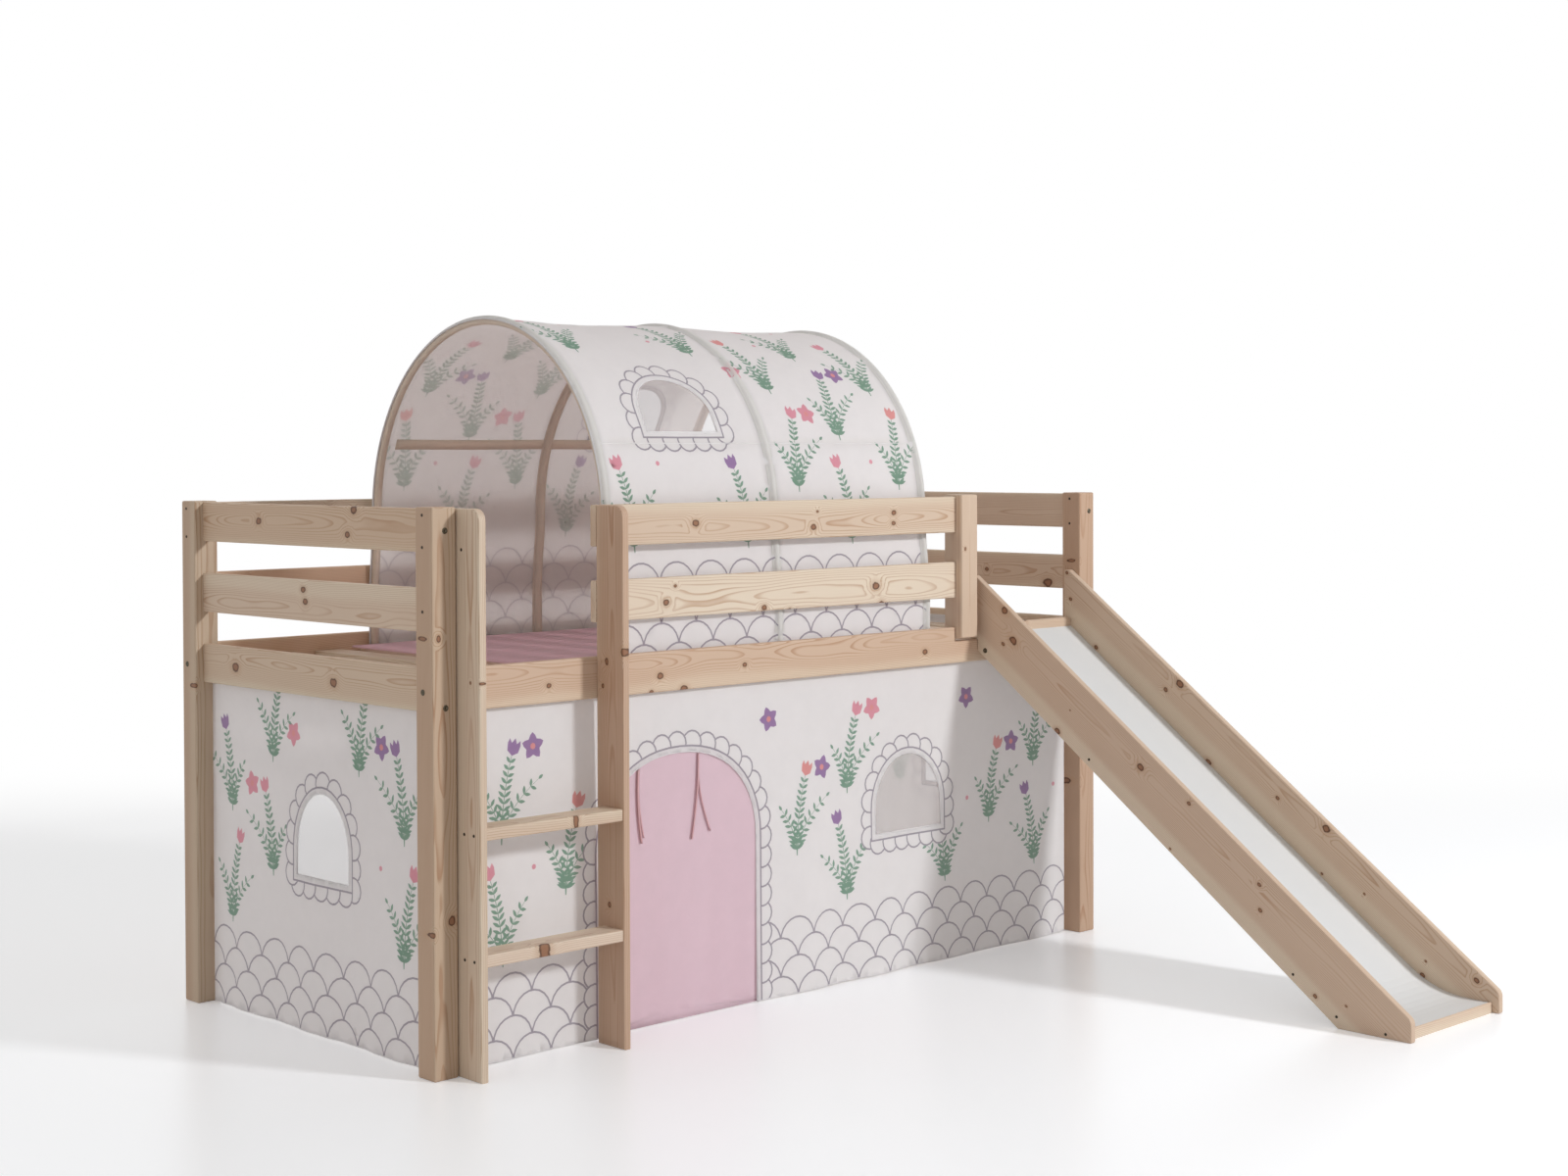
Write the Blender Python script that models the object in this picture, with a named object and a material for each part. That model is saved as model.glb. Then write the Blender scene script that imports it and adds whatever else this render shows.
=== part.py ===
# Loft bed with a ladder, a slide, a play tunnel and curtains, in metres, +Z up.
# The origin is on the floor, under the middle of the box round the whole part. The head end with
# the ladder is at -X, the slide's foot at -Y and the wall side at +Y.
import math

import bmesh
import bpy
from mathutils import Vector

# Clearance between pieces that touch, and the overrun of a cutter past the faces that it cuts
SEAT = 0.0003
OVERRUN = 0.01

# Posts
BED_LENGTH = 2.08
BED_DEPTH = 0.978
POST_SIDE = 0.058
POST_PROUD = 0.003
POST_ROUND = 0.0035

# Boards between the posts, the lowest of each side being the rail
BOARD_THICKNESS = 0.018
BOARD_WIDTH = 0.088
BOARD_ROUND = 0.004
BOARD_SPACING = 0.072
RAIL_HEIGHT = 0.729
LONG_BOARD_INSET = 0.0145
END_BOARD_INSET = 0.0205
BOARD_LEVELS = 3

# Step in the front rail, and the short post that ends the guard boards above it
RAIL_STEP = 0.034
GUARD_POST_TO_SLIDE = 0.021
GUARD_POST_RISE = 0.0045
GUARD_POST_FOOT_GAP = 0.008
GUARD_POST_PROUD = 0.006

# Slats and their bearers
SLAT_WIDTH = 0.07
SLAT_THICKNESS = 0.015
SLAT_PITCH = 0.12425
SLAT_START = 0.08025
SLAT_END_PLAY = 0.002
SLAT_ROUND = 0.002
BEARER_SIDE = 0.02
BEARER_LIFT = 0.016
BEARER_ROUND = 0.002

# Play mat
MAT_BEFORE_TUNNEL = 0.068
MAT_PAST_TUNNEL = 0.038
MAT_TO_HOOPS = 0.005
MAT_EDGE_THICKNESS = 0.006
MAT_CROWN = 0.008
MAT_RIPPLE = 0.0012
MAT_CORNER = 0.03

# Ladder
LADDER_GAP = 0.0025
LADDER_WIDTH = 0.385
STRINGER_DEPTH = 0.0867
STRINGER_CORNER = 0.025
STRINGER_ROUND = 0.003
RUNG_COUNT = 2
RUNG_PITCH = 0.252
RUNG_DEPTH = 0.0645
RUNG_THICKNESS = 0.025
RUNG_INSET = 0.003
RUNG_ROUND = 0.003

# Slide boards
SLIDE_WIDTH = 0.3832
SLIDE_HEEL = 1.0135
SLIDE_TOE = 0.1795
SLIDE_RAIL_LAP = 0.0263
SLIDE_BOARD_WIDTH = 0.145
SLIDE_HEAD_FLAT = 0.017
SLIDE_HOOK = 0.0055
SLIDE_TOE_CORNER = 0.02
SLIDE_FLOOR_CORNER = 0.004
SLIDE_BOARD_ROUND = 0.003

# Sliding panel, let into a groove in each slide board
PANEL_THICKNESS = 0.005
PANEL_RISE = 0.0331
PANEL_RUNOUT_HEIGHT = 0.0225
PANEL_BEND = 0.25
PANEL_BEND_STEPS = 8
GROOVE_DEPTH = 0.006

# Bars and battens between the slide boards
HEAD_BAR_DEPTH = 0.0215
HEAD_BAR_HEIGHT = 0.0357
FOOT_BAR_DEPTH = 0.06
FOOT_BAR_HEIGHT = 0.024
FOOT_BAR_INSET = 0.0175
FOOT_BAR_LIP = 0.005
BATTEN_LENGTHWISE = 0.04
BATTEN_SHARES = (0.117, 0.669)
RUNOUT_BAR_SIDE = 0.025
RUNOUT_BAR_FROM_KNEE = 0.0146
BAR_ROUND = 0.003

# Tunnel of hoops and cloth, standing on the slats
TUNNEL_START = 0.488
TUNNEL_TO_GUARD_POST = 0.0775
HOOP_COUNT = 3
HOOP_DIAMETER = 0.01
TUNNEL_TO_RAILS = 0.0065
TUNNEL_LEG = 0.3194
TUNNEL_ARCH_RISE = 0.452
TUNNEL_FLARE = 0.015
COVER_THICKNESS = 0.0016
COVER_OVERHANG = 0.01
COVER_SAG = 0.006
ARCH_STEPS = 24
LEG_STEPS = 3
BAY_COLUMNS = 5
TUNNEL_WINDOW_BAY_SHARE = 0.517
TUNNEL_WINDOW_WIDTH = 0.21
TUNNEL_WINDOW_SILL = 0.193
TUNNEL_WINDOW_SPRING = 0.045
TUNNEL_WINDOW_RISE = 0.077

# Curtains
CURTAIN_THICKNESS = 0.002
CURTAIN_FLOOR_GAP = 0.004
CURTAIN_FOLD_DEPTH = 0.008
CURTAIN_FLAT_BELOW_RAIL = 0.03
FRONT_CURTAIN_LEFT_GAP = 0.002
FRONT_CURTAIN_RIGHT_GAP = 0.025
FRONT_CURTAIN_FOLDS = 7
END_CURTAIN_GAP = 0.007
END_CURTAIN_LAP = 0.071
END_CURTAIN_FOLDS = 3

# Openings in the curtains
DOOR_CENTRE = 0.676
DOOR_WIDTH = 0.458
DOOR_SPRING = 0.38
DOOR_RISE = 0.211
WINDOW_SPRING = 0.06
WINDOW_SILL = 0.337
WINDOW_RISE = 0.125
FRONT_WINDOW_CENTRE = 1.404
FRONT_WINDOW_WIDTH = 0.2315
END_WINDOW_CENTRE = 0.4605
END_WINDOW_WIDTH = 0.199
DOOR_FULLNESS = 2.2
WINDOW_FULLNESS = 2
OPENING_ARCH_STEPS = 14

# Cloth door flap, sewn on above the door opening
FLAP_THICKNESS = 0.0015
FLAP_OVERLAP = 0.018
FLAP_HEADING = 0.01
FLAP_FOLD_DEPTH = 0.006
FLAP_FOLDS = 2
FLAP_ROWS = 6

# Facets of the rounded edges
ROUND_STEP_DEG = 30
ROUND_SEGMENTS = 2
ROUND_PROFILE_SHARE = 0.5
SMOOTH_BELOW_DEG = 35

# Sizes that follow from the ones above
BOARD_PITCH = BOARD_WIDTH + BOARD_SPACING
RAIL_TOP = RAIL_HEIGHT + BOARD_WIDTH
LOW_RAIL_TOP = RAIL_TOP - RAIL_STEP
BOARDS_TOP = RAIL_TOP + (BOARD_LEVELS - 1) * BOARD_PITCH
POST_HEIGHT = BOARDS_TOP + POST_PROUD
RAIL_INNER = LONG_BOARD_INSET + BOARD_THICKNESS
BEARER_BASE = RAIL_HEIGHT + BEARER_LIFT
SLAT_BASE = BEARER_BASE + BEARER_SIDE + SEAT
SLAT_TOP = SLAT_BASE + SLAT_THICKNESS
SLAT_COUNT = 1 + int((BED_LENGTH - POST_SIDE - SLAT_WIDTH - SLAT_START) / SLAT_PITCH)
LADDER_LEFT = POST_SIDE + LADDER_GAP
LADDER_RIGHT = LADDER_LEFT + LADDER_WIDTH
SLIDE_LEFT = BED_LENGTH - POST_SIDE - SEAT - SLIDE_WIDTH
SLIDE_CLEAR_WIDTH = SLIDE_WIDTH - BOARD_THICKNESS - BOARD_THICKNESS
SLIDE_REACH = SLIDE_HEEL + SLIDE_TOE
RAIL_FACE = LONG_BOARD_INSET - SEAT
SLOPE = (RAIL_HEIGHT + SLIDE_RAIL_LAP) / (SLIDE_HEEL + RAIL_FACE)
SLIDE_ANGLE = math.atan(SLOPE)
GUARD_LEFT = LADDER_RIGHT - BOARD_THICKNESS
GUARD_POST_LEFT = SLIDE_LEFT - GUARD_POST_TO_SLIDE - POST_SIDE
BED_FRONT = (SLIDE_REACH - BED_DEPTH) / 2
TUNNEL_MIDDLE = BED_DEPTH / 2
TUNNEL_FOOT_HALF = TUNNEL_MIDDLE - RAIL_INNER - TUNNEL_TO_RAILS
TUNNEL_HALF = TUNNEL_FOOT_HALF - TUNNEL_FLARE
HOOP_PITCH = (GUARD_POST_LEFT - TUNNEL_TO_GUARD_POST - TUNNEL_START) / (HOOP_COUNT - 1)
HOOP_DEPTH = COVER_THICKNESS + SEAT + HOOP_DIAMETER / 2
MAT_START = TUNNEL_START - MAT_BEFORE_TUNNEL
MAT_LENGTH = GUARD_POST_LEFT - TUNNEL_TO_GUARD_POST + MAT_PAST_TUNNEL - MAT_START
MAT_WIDTH = 2 * (TUNNEL_FOOT_HALF - HOOP_DEPTH - HOOP_DIAMETER / 2 - MAT_TO_HOOPS)
CURTAIN_BACK = RAIL_INNER + SEAT + CURTAIN_THICKNESS


# Scene, groups and materials

def clear_scene():
    for old in list(bpy.data.objects):
        bpy.data.objects.remove(old, do_unlink=True)


def group(name, place, parent=None):
    """Add an empty that carries the pieces of one group."""
    empty = bpy.data.objects.new(name, None)
    bpy.context.collection.objects.link(empty)
    empty.location = place
    empty.parent = parent
    return empty


def principled(name, color, roughness):
    """Make a plain material from a colour and a roughness."""
    material = bpy.data.materials.new(name)
    material.use_nodes = True
    shader = material.node_tree.nodes["Principled BSDF"]
    shader.inputs["Base Color"].default_value = (*color, 1)
    shader.inputs["Roughness"].default_value = roughness
    material.diffuse_color = (*color, 1)
    return material


def add_piece(name, mesh, material, parent, place):
    """Add a mesh as a named piece at its place in its group."""
    piece = bpy.data.objects.new(name, mesh)
    bpy.context.collection.objects.link(piece)
    piece.parent = parent
    piece.location = place
    mesh.materials.append(material)
    mesh.shade_smooth()
    mesh.set_sharp_from_angle(angle=math.radians(SMOOTH_BELOW_DEG))
    return piece


def cut(piece, cutter):
    """Cut a piece by a cutter that stays hidden."""
    cutter.hide_render = True
    cutter.display_type = "WIRE"
    boolean = piece.modifiers.new("cut_by_" + cutter.name, "BOOLEAN")
    boolean.operation = "DIFFERENCE"
    boolean.solver = "EXACT"
    boolean.object = cutter


# Outlines in a plane

def round_corners(corners, step_deg=ROUND_STEP_DEG):
    """Turn corners, each given as (u, v, radius), into an outline with arcs at the corners."""
    outline = []
    for index, (u, v, radius) in enumerate(corners):
        corner = Vector((u, v))
        if radius == 0:
            outline.append(corner)
            continue
        before = (Vector(corners[index - 1][:2]) - corner).normalized()
        after = (Vector(corners[(index + 1) % len(corners)][:2]) - corner).normalized()
        half_angle = before.angle(after) / 2
        centre = corner + (before + after).normalized() * radius / math.sin(half_angle)
        start = corner + before * radius / math.tan(half_angle) - centre
        sweep = math.pi - 2 * half_angle
        turn = math.copysign(sweep, before.x * after.y - before.y * after.x)
        steps = max(1, round(math.degrees(sweep) / step_deg))
        for step in range(steps + 1):
            angle = -turn * step / steps
            turned = Vector((
                start.x * math.cos(angle) - start.y * math.sin(angle),
                start.x * math.sin(angle) + start.y * math.cos(angle),
            ))
            outline.append(centre + turned)
    return outline


def rectangle(u_size, v_size, radius):
    return round_corners([
        (0, 0, radius),
        (u_size, 0, radius),
        (u_size, v_size, radius),
        (0, v_size, radius),
    ])


def arched_opening(width, spring, rise, fullness):
    """Outline of an opening with a level sill at zero, upright jambs and an arch above them."""
    half = width / 2
    outline = [Vector((-half, 0)), Vector((half, 0))]
    for step in range(OPENING_ARCH_STEPS + 1):
        angle = math.pi * step / OPENING_ARCH_STEPS
        across = math.copysign(abs(math.cos(angle)) ** (2 / fullness), math.cos(angle))
        up = max(0, math.sin(angle)) ** (2 / fullness)
        outline.append(Vector((half * across, spring + rise * up)))
    return outline


# Solids from outlines and surfaces

def round_edges(shape, edges, radius):
    bmesh.ops.bevel(
        shape, geom=edges, offset=radius, segments=ROUND_SEGMENTS, profile=ROUND_PROFILE_SHARE,
        affect="EDGES",
    )


def spatial(axis, along, u, v):
    """Point at a distance along an axis, with (u, v) in the other two axes, in X, Y, Z order."""
    coordinates = [u, v]
    coordinates.insert("XYZ".index(axis), along)
    return coordinates


def prism(name, outline, axis, length, edge_round=0):
    """Extrude an outline along an axis, and round the edges of its two ends if asked."""
    shape = bmesh.new()
    rings = []
    for along in (0, length):
        rings.append([shape.verts.new(spatial(axis, along, u, v)) for u, v in outline])
    shape.faces.new(rings[0])
    shape.faces.new(rings[1])
    end_edges = list(shape.edges)
    for index in range(len(outline)):
        shape.faces.new((rings[0][index - 1], rings[0][index], rings[1][index], rings[1][index - 1]))
    bmesh.ops.recalc_face_normals(shape, faces=shape.faces)
    if edge_round:
        round_edges(shape, end_edges, edge_round)
    mesh = bpy.data.meshes.new(name)
    shape.to_mesh(mesh)
    shape.free()
    return mesh


def bar(name, size, radius):
    """Straight bar whose long edges are rounded, from the origin to its size."""
    axis = "XYZ"[max(range(3), key=lambda index: size[index])]
    u_size, v_size = [size[index] for index in range(3) if "XYZ"[index] != axis]
    return prism(name, rectangle(u_size, v_size, radius), axis, max(size))


def block(name, size, radius):
    """Box with all its edges rounded, from the origin to its size."""
    shape = bmesh.new()
    bmesh.ops.create_cube(shape, size=1)
    for vertex in shape.verts:
        vertex.co = Vector([(vertex.co[index] + 1 / 2) * size[index] for index in range(3)])
    round_edges(shape, list(shape.edges), radius)
    mesh = bpy.data.meshes.new(name)
    shape.to_mesh(mesh)
    shape.free()
    return mesh


def cloth(name, front, back, columns, rows):
    """Closed sheet between two surfaces, each a grid of points indexed by column and row."""
    shape = bmesh.new()
    grids = []
    for surface in (front, back):
        grids.append([[shape.verts.new(surface(column, row)) for row in range(rows + 1)]
                      for column in range(columns + 1)])
    for grid in grids:
        for column in range(columns):
            for row in range(rows):
                shape.faces.new((
                    grid[column][row],
                    grid[column + 1][row],
                    grid[column + 1][row + 1],
                    grid[column][row + 1],
                ))
    rim = [(column, 0) for column in range(columns)]
    rim += [(columns, row) for row in range(rows)]
    rim += [(column, rows) for column in range(columns, 0, -1)]
    rim += [(0, row) for row in range(rows, 0, -1)]
    for index, (column, row) in enumerate(rim):
        last_column, last_row = rim[index - 1]
        shape.faces.new((
            grids[0][last_column][last_row],
            grids[0][column][row],
            grids[1][column][row],
            grids[1][last_column][last_row],
        ))
    bmesh.ops.recalc_face_normals(shape, faces=shape.faces)
    mesh = bpy.data.meshes.new(name)
    shape.to_mesh(mesh)
    shape.free()
    return mesh


def tube(name, points, diameter):
    """Round rod along a line of points, with closed ends."""
    curve = bpy.data.curves.new(name, "CURVE")
    curve.dimensions = "3D"
    curve.bevel_depth = diameter / 2
    curve.bevel_resolution = 2
    curve.use_fill_caps = True
    spline = curve.splines.new("POLY")
    spline.points.add(len(points) - 1)
    for control, point in zip(spline.points, points):
        control.co = (*point, 1)
    return curve


# Bed frame

def add_posts(bed, wood):
    size = (POST_SIDE, POST_SIDE, POST_HEIGHT)
    for side, x in (("left", 0), ("right", BED_LENGTH - POST_SIDE)):
        for row, y in (("front", 0), ("back", BED_DEPTH - POST_SIDE)):
            name = f"post_{row}_{side}"
            add_piece(name, block(name, size, POST_ROUND), wood, bed, (x, y, 0))


def add_end_boards(bed, wood):
    start = POST_SIDE + SEAT
    size = (BOARD_THICKNESS, BED_DEPTH - start - start, BOARD_WIDTH)
    right = BED_LENGTH - END_BOARD_INSET - BOARD_THICKNESS
    for side, x in (("left", END_BOARD_INSET), ("right", right)):
        for level in range(BOARD_LEVELS):
            name = f"end_board_{side}_{level + 1}"
            place = (x, start, RAIL_HEIGHT + level * BOARD_PITCH)
            add_piece(name, bar(name, size, BOARD_ROUND), wood, bed, place)


def add_back_boards(bed, wood):
    start = POST_SIDE + SEAT
    size = (BED_LENGTH - start - start, BOARD_THICKNESS, BOARD_WIDTH)
    y = BED_DEPTH - RAIL_INNER
    for level, name in enumerate(("back_rail", "back_guard_lower", "back_guard_upper")):
        place = (start, y, RAIL_HEIGHT + level * BOARD_PITCH)
        add_piece(name, bar(name, size, BOARD_ROUND), wood, bed, place)


def add_front_rail(bed, wood):
    """Front rail, whose top drops where the slide hooks over it."""
    start = POST_SIDE + SEAT
    length = BED_LENGTH - start - start
    step = GUARD_POST_LEFT - start
    outline = [
        Vector((0, 0)),
        Vector((length, 0)),
        Vector((length, BOARD_WIDTH - RAIL_STEP)),
        Vector((step, BOARD_WIDTH - RAIL_STEP)),
        Vector((step, BOARD_WIDTH)),
        Vector((0, BOARD_WIDTH)),
    ]
    mesh = prism("front_rail", outline, "Y", BOARD_THICKNESS, BOARD_ROUND)
    add_piece("front_rail", mesh, wood, bed, (start, LONG_BOARD_INSET, RAIL_HEIGHT))


def add_front_guard(bed, wood):
    """Two guard boards from the ladder to a short post of their own."""
    size = (GUARD_POST_LEFT - SEAT - GUARD_LEFT, BOARD_THICKNESS, BOARD_WIDTH)
    for level, name in ((1, "front_guard_lower"), (2, "front_guard_upper")):
        place = (GUARD_LEFT, LONG_BOARD_INSET, RAIL_HEIGHT + level * BOARD_PITCH)
        add_piece(name, bar(name, size, BOARD_ROUND), wood, bed, place)
    foot = LOW_RAIL_TOP + GUARD_POST_FOOT_GAP
    size = (POST_SIDE, POST_SIDE, BOARDS_TOP + GUARD_POST_RISE - foot)
    mesh = block("guard_post", size, POST_ROUND)
    add_piece("guard_post", mesh, wood, bed, (GUARD_POST_LEFT, -GUARD_POST_PROUD, foot))


def add_slats(bed, wood):
    """Bearers along both rails, and the slats that lie across them."""
    start = POST_SIDE + SEAT
    front = RAIL_INNER + SEAT
    back = BED_DEPTH - front - BEARER_SIDE
    size = (BED_LENGTH - start - start, BEARER_SIDE, BEARER_SIDE)
    for name, y in (("slat_bearer_front", front), ("slat_bearer_back", back)):
        add_piece(name, bar(name, size, BEARER_ROUND), wood, bed, (start, y, BEARER_BASE))
    y = RAIL_INNER + SLAT_END_PLAY
    size = (SLAT_WIDTH, BED_DEPTH - y - y, SLAT_THICKNESS)
    for index in range(SLAT_COUNT):
        name = f"slat_{index + 1:02d}"
        place = (SLAT_START + index * SLAT_PITCH, y, SLAT_BASE)
        add_piece(name, bar(name, size, SLAT_ROUND), wood, bed, place)


def add_mat(bed, fabric):
    """Thin padded mat with a crown, drawn-in edges and round corners."""
    columns, rows = 22, 14

    def outline_point(column, row):
        """Place on the mat, with its corners drawn in along a rounded rectangle."""
        across = 2 * column / columns - 1
        along = 2 * row / rows - 1
        squeeze = MAT_CORNER * (1 - 1 / math.sqrt(2)) * (across * along) ** 4
        x = MAT_LENGTH / 2 * across - math.copysign(squeeze, across)
        y = MAT_WIDTH / 2 * along - math.copysign(squeeze, along)
        return x, y, across, along

    def top(column, row):
        x, y, across, along = outline_point(column, row)
        crown = (1 - across ** 8) * (1 - along ** 8)
        ripple = MAT_RIPPLE * math.sin(2 * math.pi * across) * math.sin(2 * math.pi * along)
        return x, y, MAT_EDGE_THICKNESS + MAT_CROWN * crown + ripple

    def bottom(column, row):
        x, y, _, _ = outline_point(column, row)
        return x, y, 0

    mesh = cloth("play_mat", top, bottom, columns, rows)
    place = (MAT_START + MAT_LENGTH / 2, TUNNEL_MIDDLE, SLAT_TOP + SEAT)
    add_piece("play_mat", mesh, fabric, bed, place)


# Ladder

def add_ladder(ladder, wood):
    """Two stringers with round top corners, and the rungs between them."""
    outline = round_corners([
        (0, 0, 0),
        (STRINGER_DEPTH, 0, 0),
        (STRINGER_DEPTH, BOARDS_TOP, 0),
        (0, BOARDS_TOP, STRINGER_CORNER),
    ], ROUND_STEP_DEG / 2)
    front = RAIL_FACE - STRINGER_DEPTH
    right = LADDER_WIDTH - BOARD_THICKNESS
    for side, x in (("left", 0), ("right", right)):
        name = f"ladder_stringer_{side}"
        mesh = prism(name, outline, "X", BOARD_THICKNESS, STRINGER_ROUND)
        add_piece(name, mesh, wood, ladder, (x, front, 0))
    start = BOARD_THICKNESS + SEAT
    size = (right - SEAT - start, RUNG_DEPTH, RUNG_THICKNESS)
    for index in range(RUNG_COUNT):
        name = f"ladder_rung_{index + 1}"
        place = (start, front + RUNG_INSET, (index + 1) * RUNG_PITCH - RUNG_THICKNESS)
        add_piece(name, bar(name, size, RUNG_ROUND), wood, ladder, place)


# Slide

def slide_board_outline():
    """Side view of a slide board, with the notch that hooks it over the lowered rail."""
    edge_drop = SLIDE_BOARD_WIDTH / math.cos(SLIDE_ANGLE)
    rail_seat = LOW_RAIL_TOP + SEAT
    head_back = RAIL_INNER + SLIDE_HOOK
    head_front = head_back - SLIDE_HEAD_FLAT
    head_top = SLOPE * (head_front + SLIDE_HEEL) + edge_drop
    return round_corners([
        (-SLIDE_HEEL, 0, 0),
        (RAIL_FACE, RAIL_HEIGHT + SLIDE_RAIL_LAP, 0),
        (RAIL_FACE, rail_seat, 0),
        (head_back, rail_seat, 0),
        (head_back, head_top, SLIDE_FLOOR_CORNER),
        (head_front, head_top, SLIDE_FLOOR_CORNER),
        (-SLIDE_REACH, edge_drop - SLOPE * SLIDE_TOE, SLIDE_TOE_CORNER),
        (-SLIDE_REACH, 0, SLIDE_FLOOR_CORNER),
    ], ROUND_STEP_DEG / 2)


def panel_slope_base():
    """Height at which the line of the panel's sloping top meets the posts' front faces."""
    return SLOPE * SLIDE_HEEL + PANEL_RISE / math.cos(SLIDE_ANGLE)


def panel_bend_centre():
    """Centre, in side view, of the bend between the slope and the level run-out."""
    knee = (PANEL_RUNOUT_HEIGHT - panel_slope_base()) / SLOPE
    return Vector((knee - PANEL_BEND * math.tan(SLIDE_ANGLE / 2), PANEL_RUNOUT_HEIGHT + PANEL_BEND))


def panel_line(depth, toe, head):
    """Side view of the panel at a depth under its top: level run-out, bend and straight slope."""
    centre = panel_bend_centre()
    radius = PANEL_BEND + depth
    line = [Vector((toe, centre.y - radius))]
    for step in range(PANEL_BEND_STEPS + 1):
        angle = SLIDE_ANGLE * step / PANEL_BEND_STEPS
        line.append(centre + radius * Vector((math.sin(angle), -math.cos(angle))))
    drop = depth / math.cos(SLIDE_ANGLE)
    line.append(Vector((head, SLOPE * head + panel_slope_base() - drop)))
    return line


def panel_outline(clearance):
    """Closed side view of the panel, or of its groove when a clearance is given."""
    toe = FOOT_BAR_INSET + FOOT_BAR_LIP - SLIDE_REACH + SEAT - clearance
    head = RAIL_FACE + clearance
    upper = panel_line(-clearance, toe, head)
    lower = panel_line(PANEL_THICKNESS + clearance, toe, head)
    return upper + lower[::-1]


def add_slide_boards(slide, wood):
    """Side boards, grooved on their inner faces for the panel."""
    outline = slide_board_outline()
    groove = panel_outline(SEAT)
    inner_left = BOARD_THICKNESS - GROOVE_DEPTH
    inner_right = SLIDE_WIDTH - BOARD_THICKNESS - OVERRUN
    places = (("left", 0, inner_left), ("right", SLIDE_WIDTH - BOARD_THICKNESS, inner_right))
    for side, x, groove_x in places:
        name = f"slide_board_{side}"
        mesh = prism(name, outline, "X", BOARD_THICKNESS, SLIDE_BOARD_ROUND)
        board = add_piece(name, mesh, wood, slide, (x, 0, 0))
        cutter_mesh = prism(f"groove_{side}", groove, "X", GROOVE_DEPTH + OVERRUN)
        cutter = add_piece(f"groove_{side}", cutter_mesh, wood, slide, (groove_x, 0, 0))
        cut(board, cutter)


def add_slide_panel(slide, plastic):
    """Smooth sheet that is bent into a level run-out and held in both grooves."""
    inset = BOARD_THICKNESS - GROOVE_DEPTH + SEAT
    mesh = prism("slide_panel", panel_outline(0), "X", SLIDE_WIDTH - inset - inset)
    add_piece("slide_panel", mesh, plastic, slide, (inset, 0, 0))


def add_slide_bars(slide, wood):
    """Head bar on the rail, foot bar on the floor, and the small bar under the run-out."""
    start = BOARD_THICKNESS + SEAT
    length = SLIDE_CLEAR_WIDTH - SEAT - SEAT
    head = round_corners([
        (0, 0, 0),
        (HEAD_BAR_DEPTH, 0, 0),
        (HEAD_BAR_DEPTH, HEAD_BAR_HEIGHT, HEAD_BAR_DEPTH / 3),
        (0, HEAD_BAR_HEIGHT, HEAD_BAR_DEPTH / 3),
    ])
    place = (start, LONG_BOARD_INSET, LOW_RAIL_TOP + SEAT)
    add_piece("slide_head_bar", prism("slide_head_bar", head, "X", length), wood, slide, place)
    rebate = PANEL_RUNOUT_HEIGHT - PANEL_THICKNESS - SEAT
    foot = round_corners([
        (0, 0, 0),
        (FOOT_BAR_DEPTH, 0, 0),
        (FOOT_BAR_DEPTH, rebate, 0),
        (FOOT_BAR_LIP, rebate, 0),
        (FOOT_BAR_LIP, FOOT_BAR_HEIGHT, FOOT_BAR_LIP / 3),
        (0, FOOT_BAR_HEIGHT, FOOT_BAR_LIP / 3),
    ])
    place = (start, FOOT_BAR_INSET - SLIDE_REACH, 0)
    add_piece("slide_foot_bar", prism("slide_foot_bar", foot, "X", length), wood, slide, place)
    size = (length, RUNOUT_BAR_SIDE, RUNOUT_BAR_SIDE)
    place = (start, *runout_bar_corner())
    add_piece("slide_runout_bar", bar("slide_runout_bar", size, BAR_ROUND), wood, slide, place)


def runout_bar_corner():
    """Front lower corner of the run-out bar, whose front top edge lies just under the bend."""
    centre = panel_bend_centre()
    radius = PANEL_BEND + PANEL_THICKNESS + SEAT
    reach = PANEL_BEND * math.tan(SLIDE_ANGLE / 2) + RUNOUT_BAR_FROM_KNEE
    drop = math.sqrt(radius ** 2 - reach ** 2)
    return centre.x + reach, centre.y - drop - RUNOUT_BAR_SIDE


def add_slide_battens(slide, wood):
    """Battens under the panel, flush with the lower edges of the slide boards."""
    thickness = PANEL_RISE - PANEL_THICKNESS - SEAT
    size = (SLIDE_CLEAR_WIDTH - SEAT - SEAT, BATTEN_LENGTHWISE, thickness)
    along = Vector((0, math.cos(SLIDE_ANGLE), math.sin(SLIDE_ANGLE)))
    heel = Vector((BOARD_THICKNESS + SEAT, -SLIDE_HEEL, 0))
    edge_length = (SLIDE_HEEL + RAIL_FACE) / math.cos(SLIDE_ANGLE)
    places = [share * edge_length for share in BATTEN_SHARES]
    places.append(edge_length - SEAT - BATTEN_LENGTHWISE / 2)
    for index, place in enumerate(places):
        name = f"slide_batten_{index + 1}"
        corner = heel + along * (place - BATTEN_LENGTHWISE / 2)
        batten = add_piece(name, bar(name, size, BAR_ROUND), wood, slide, corner)
        batten.rotation_euler.x = SLIDE_ANGLE


# Tunnel

def arch_stations():
    """Steps along the arch from the front foot to the back foot, as (across, up, down) shares."""
    stations = [(-1, 0, 1 - step / LEG_STEPS) for step in range(LEG_STEPS)]
    for step in range(ARCH_STEPS + 1):
        angle = math.pi * step / ARCH_STEPS
        stations.append((-math.cos(angle), math.sin(angle), 0))
    stations += [(1, 0, (step + 1) / LEG_STEPS) for step in range(LEG_STEPS)]
    return stations


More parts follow.
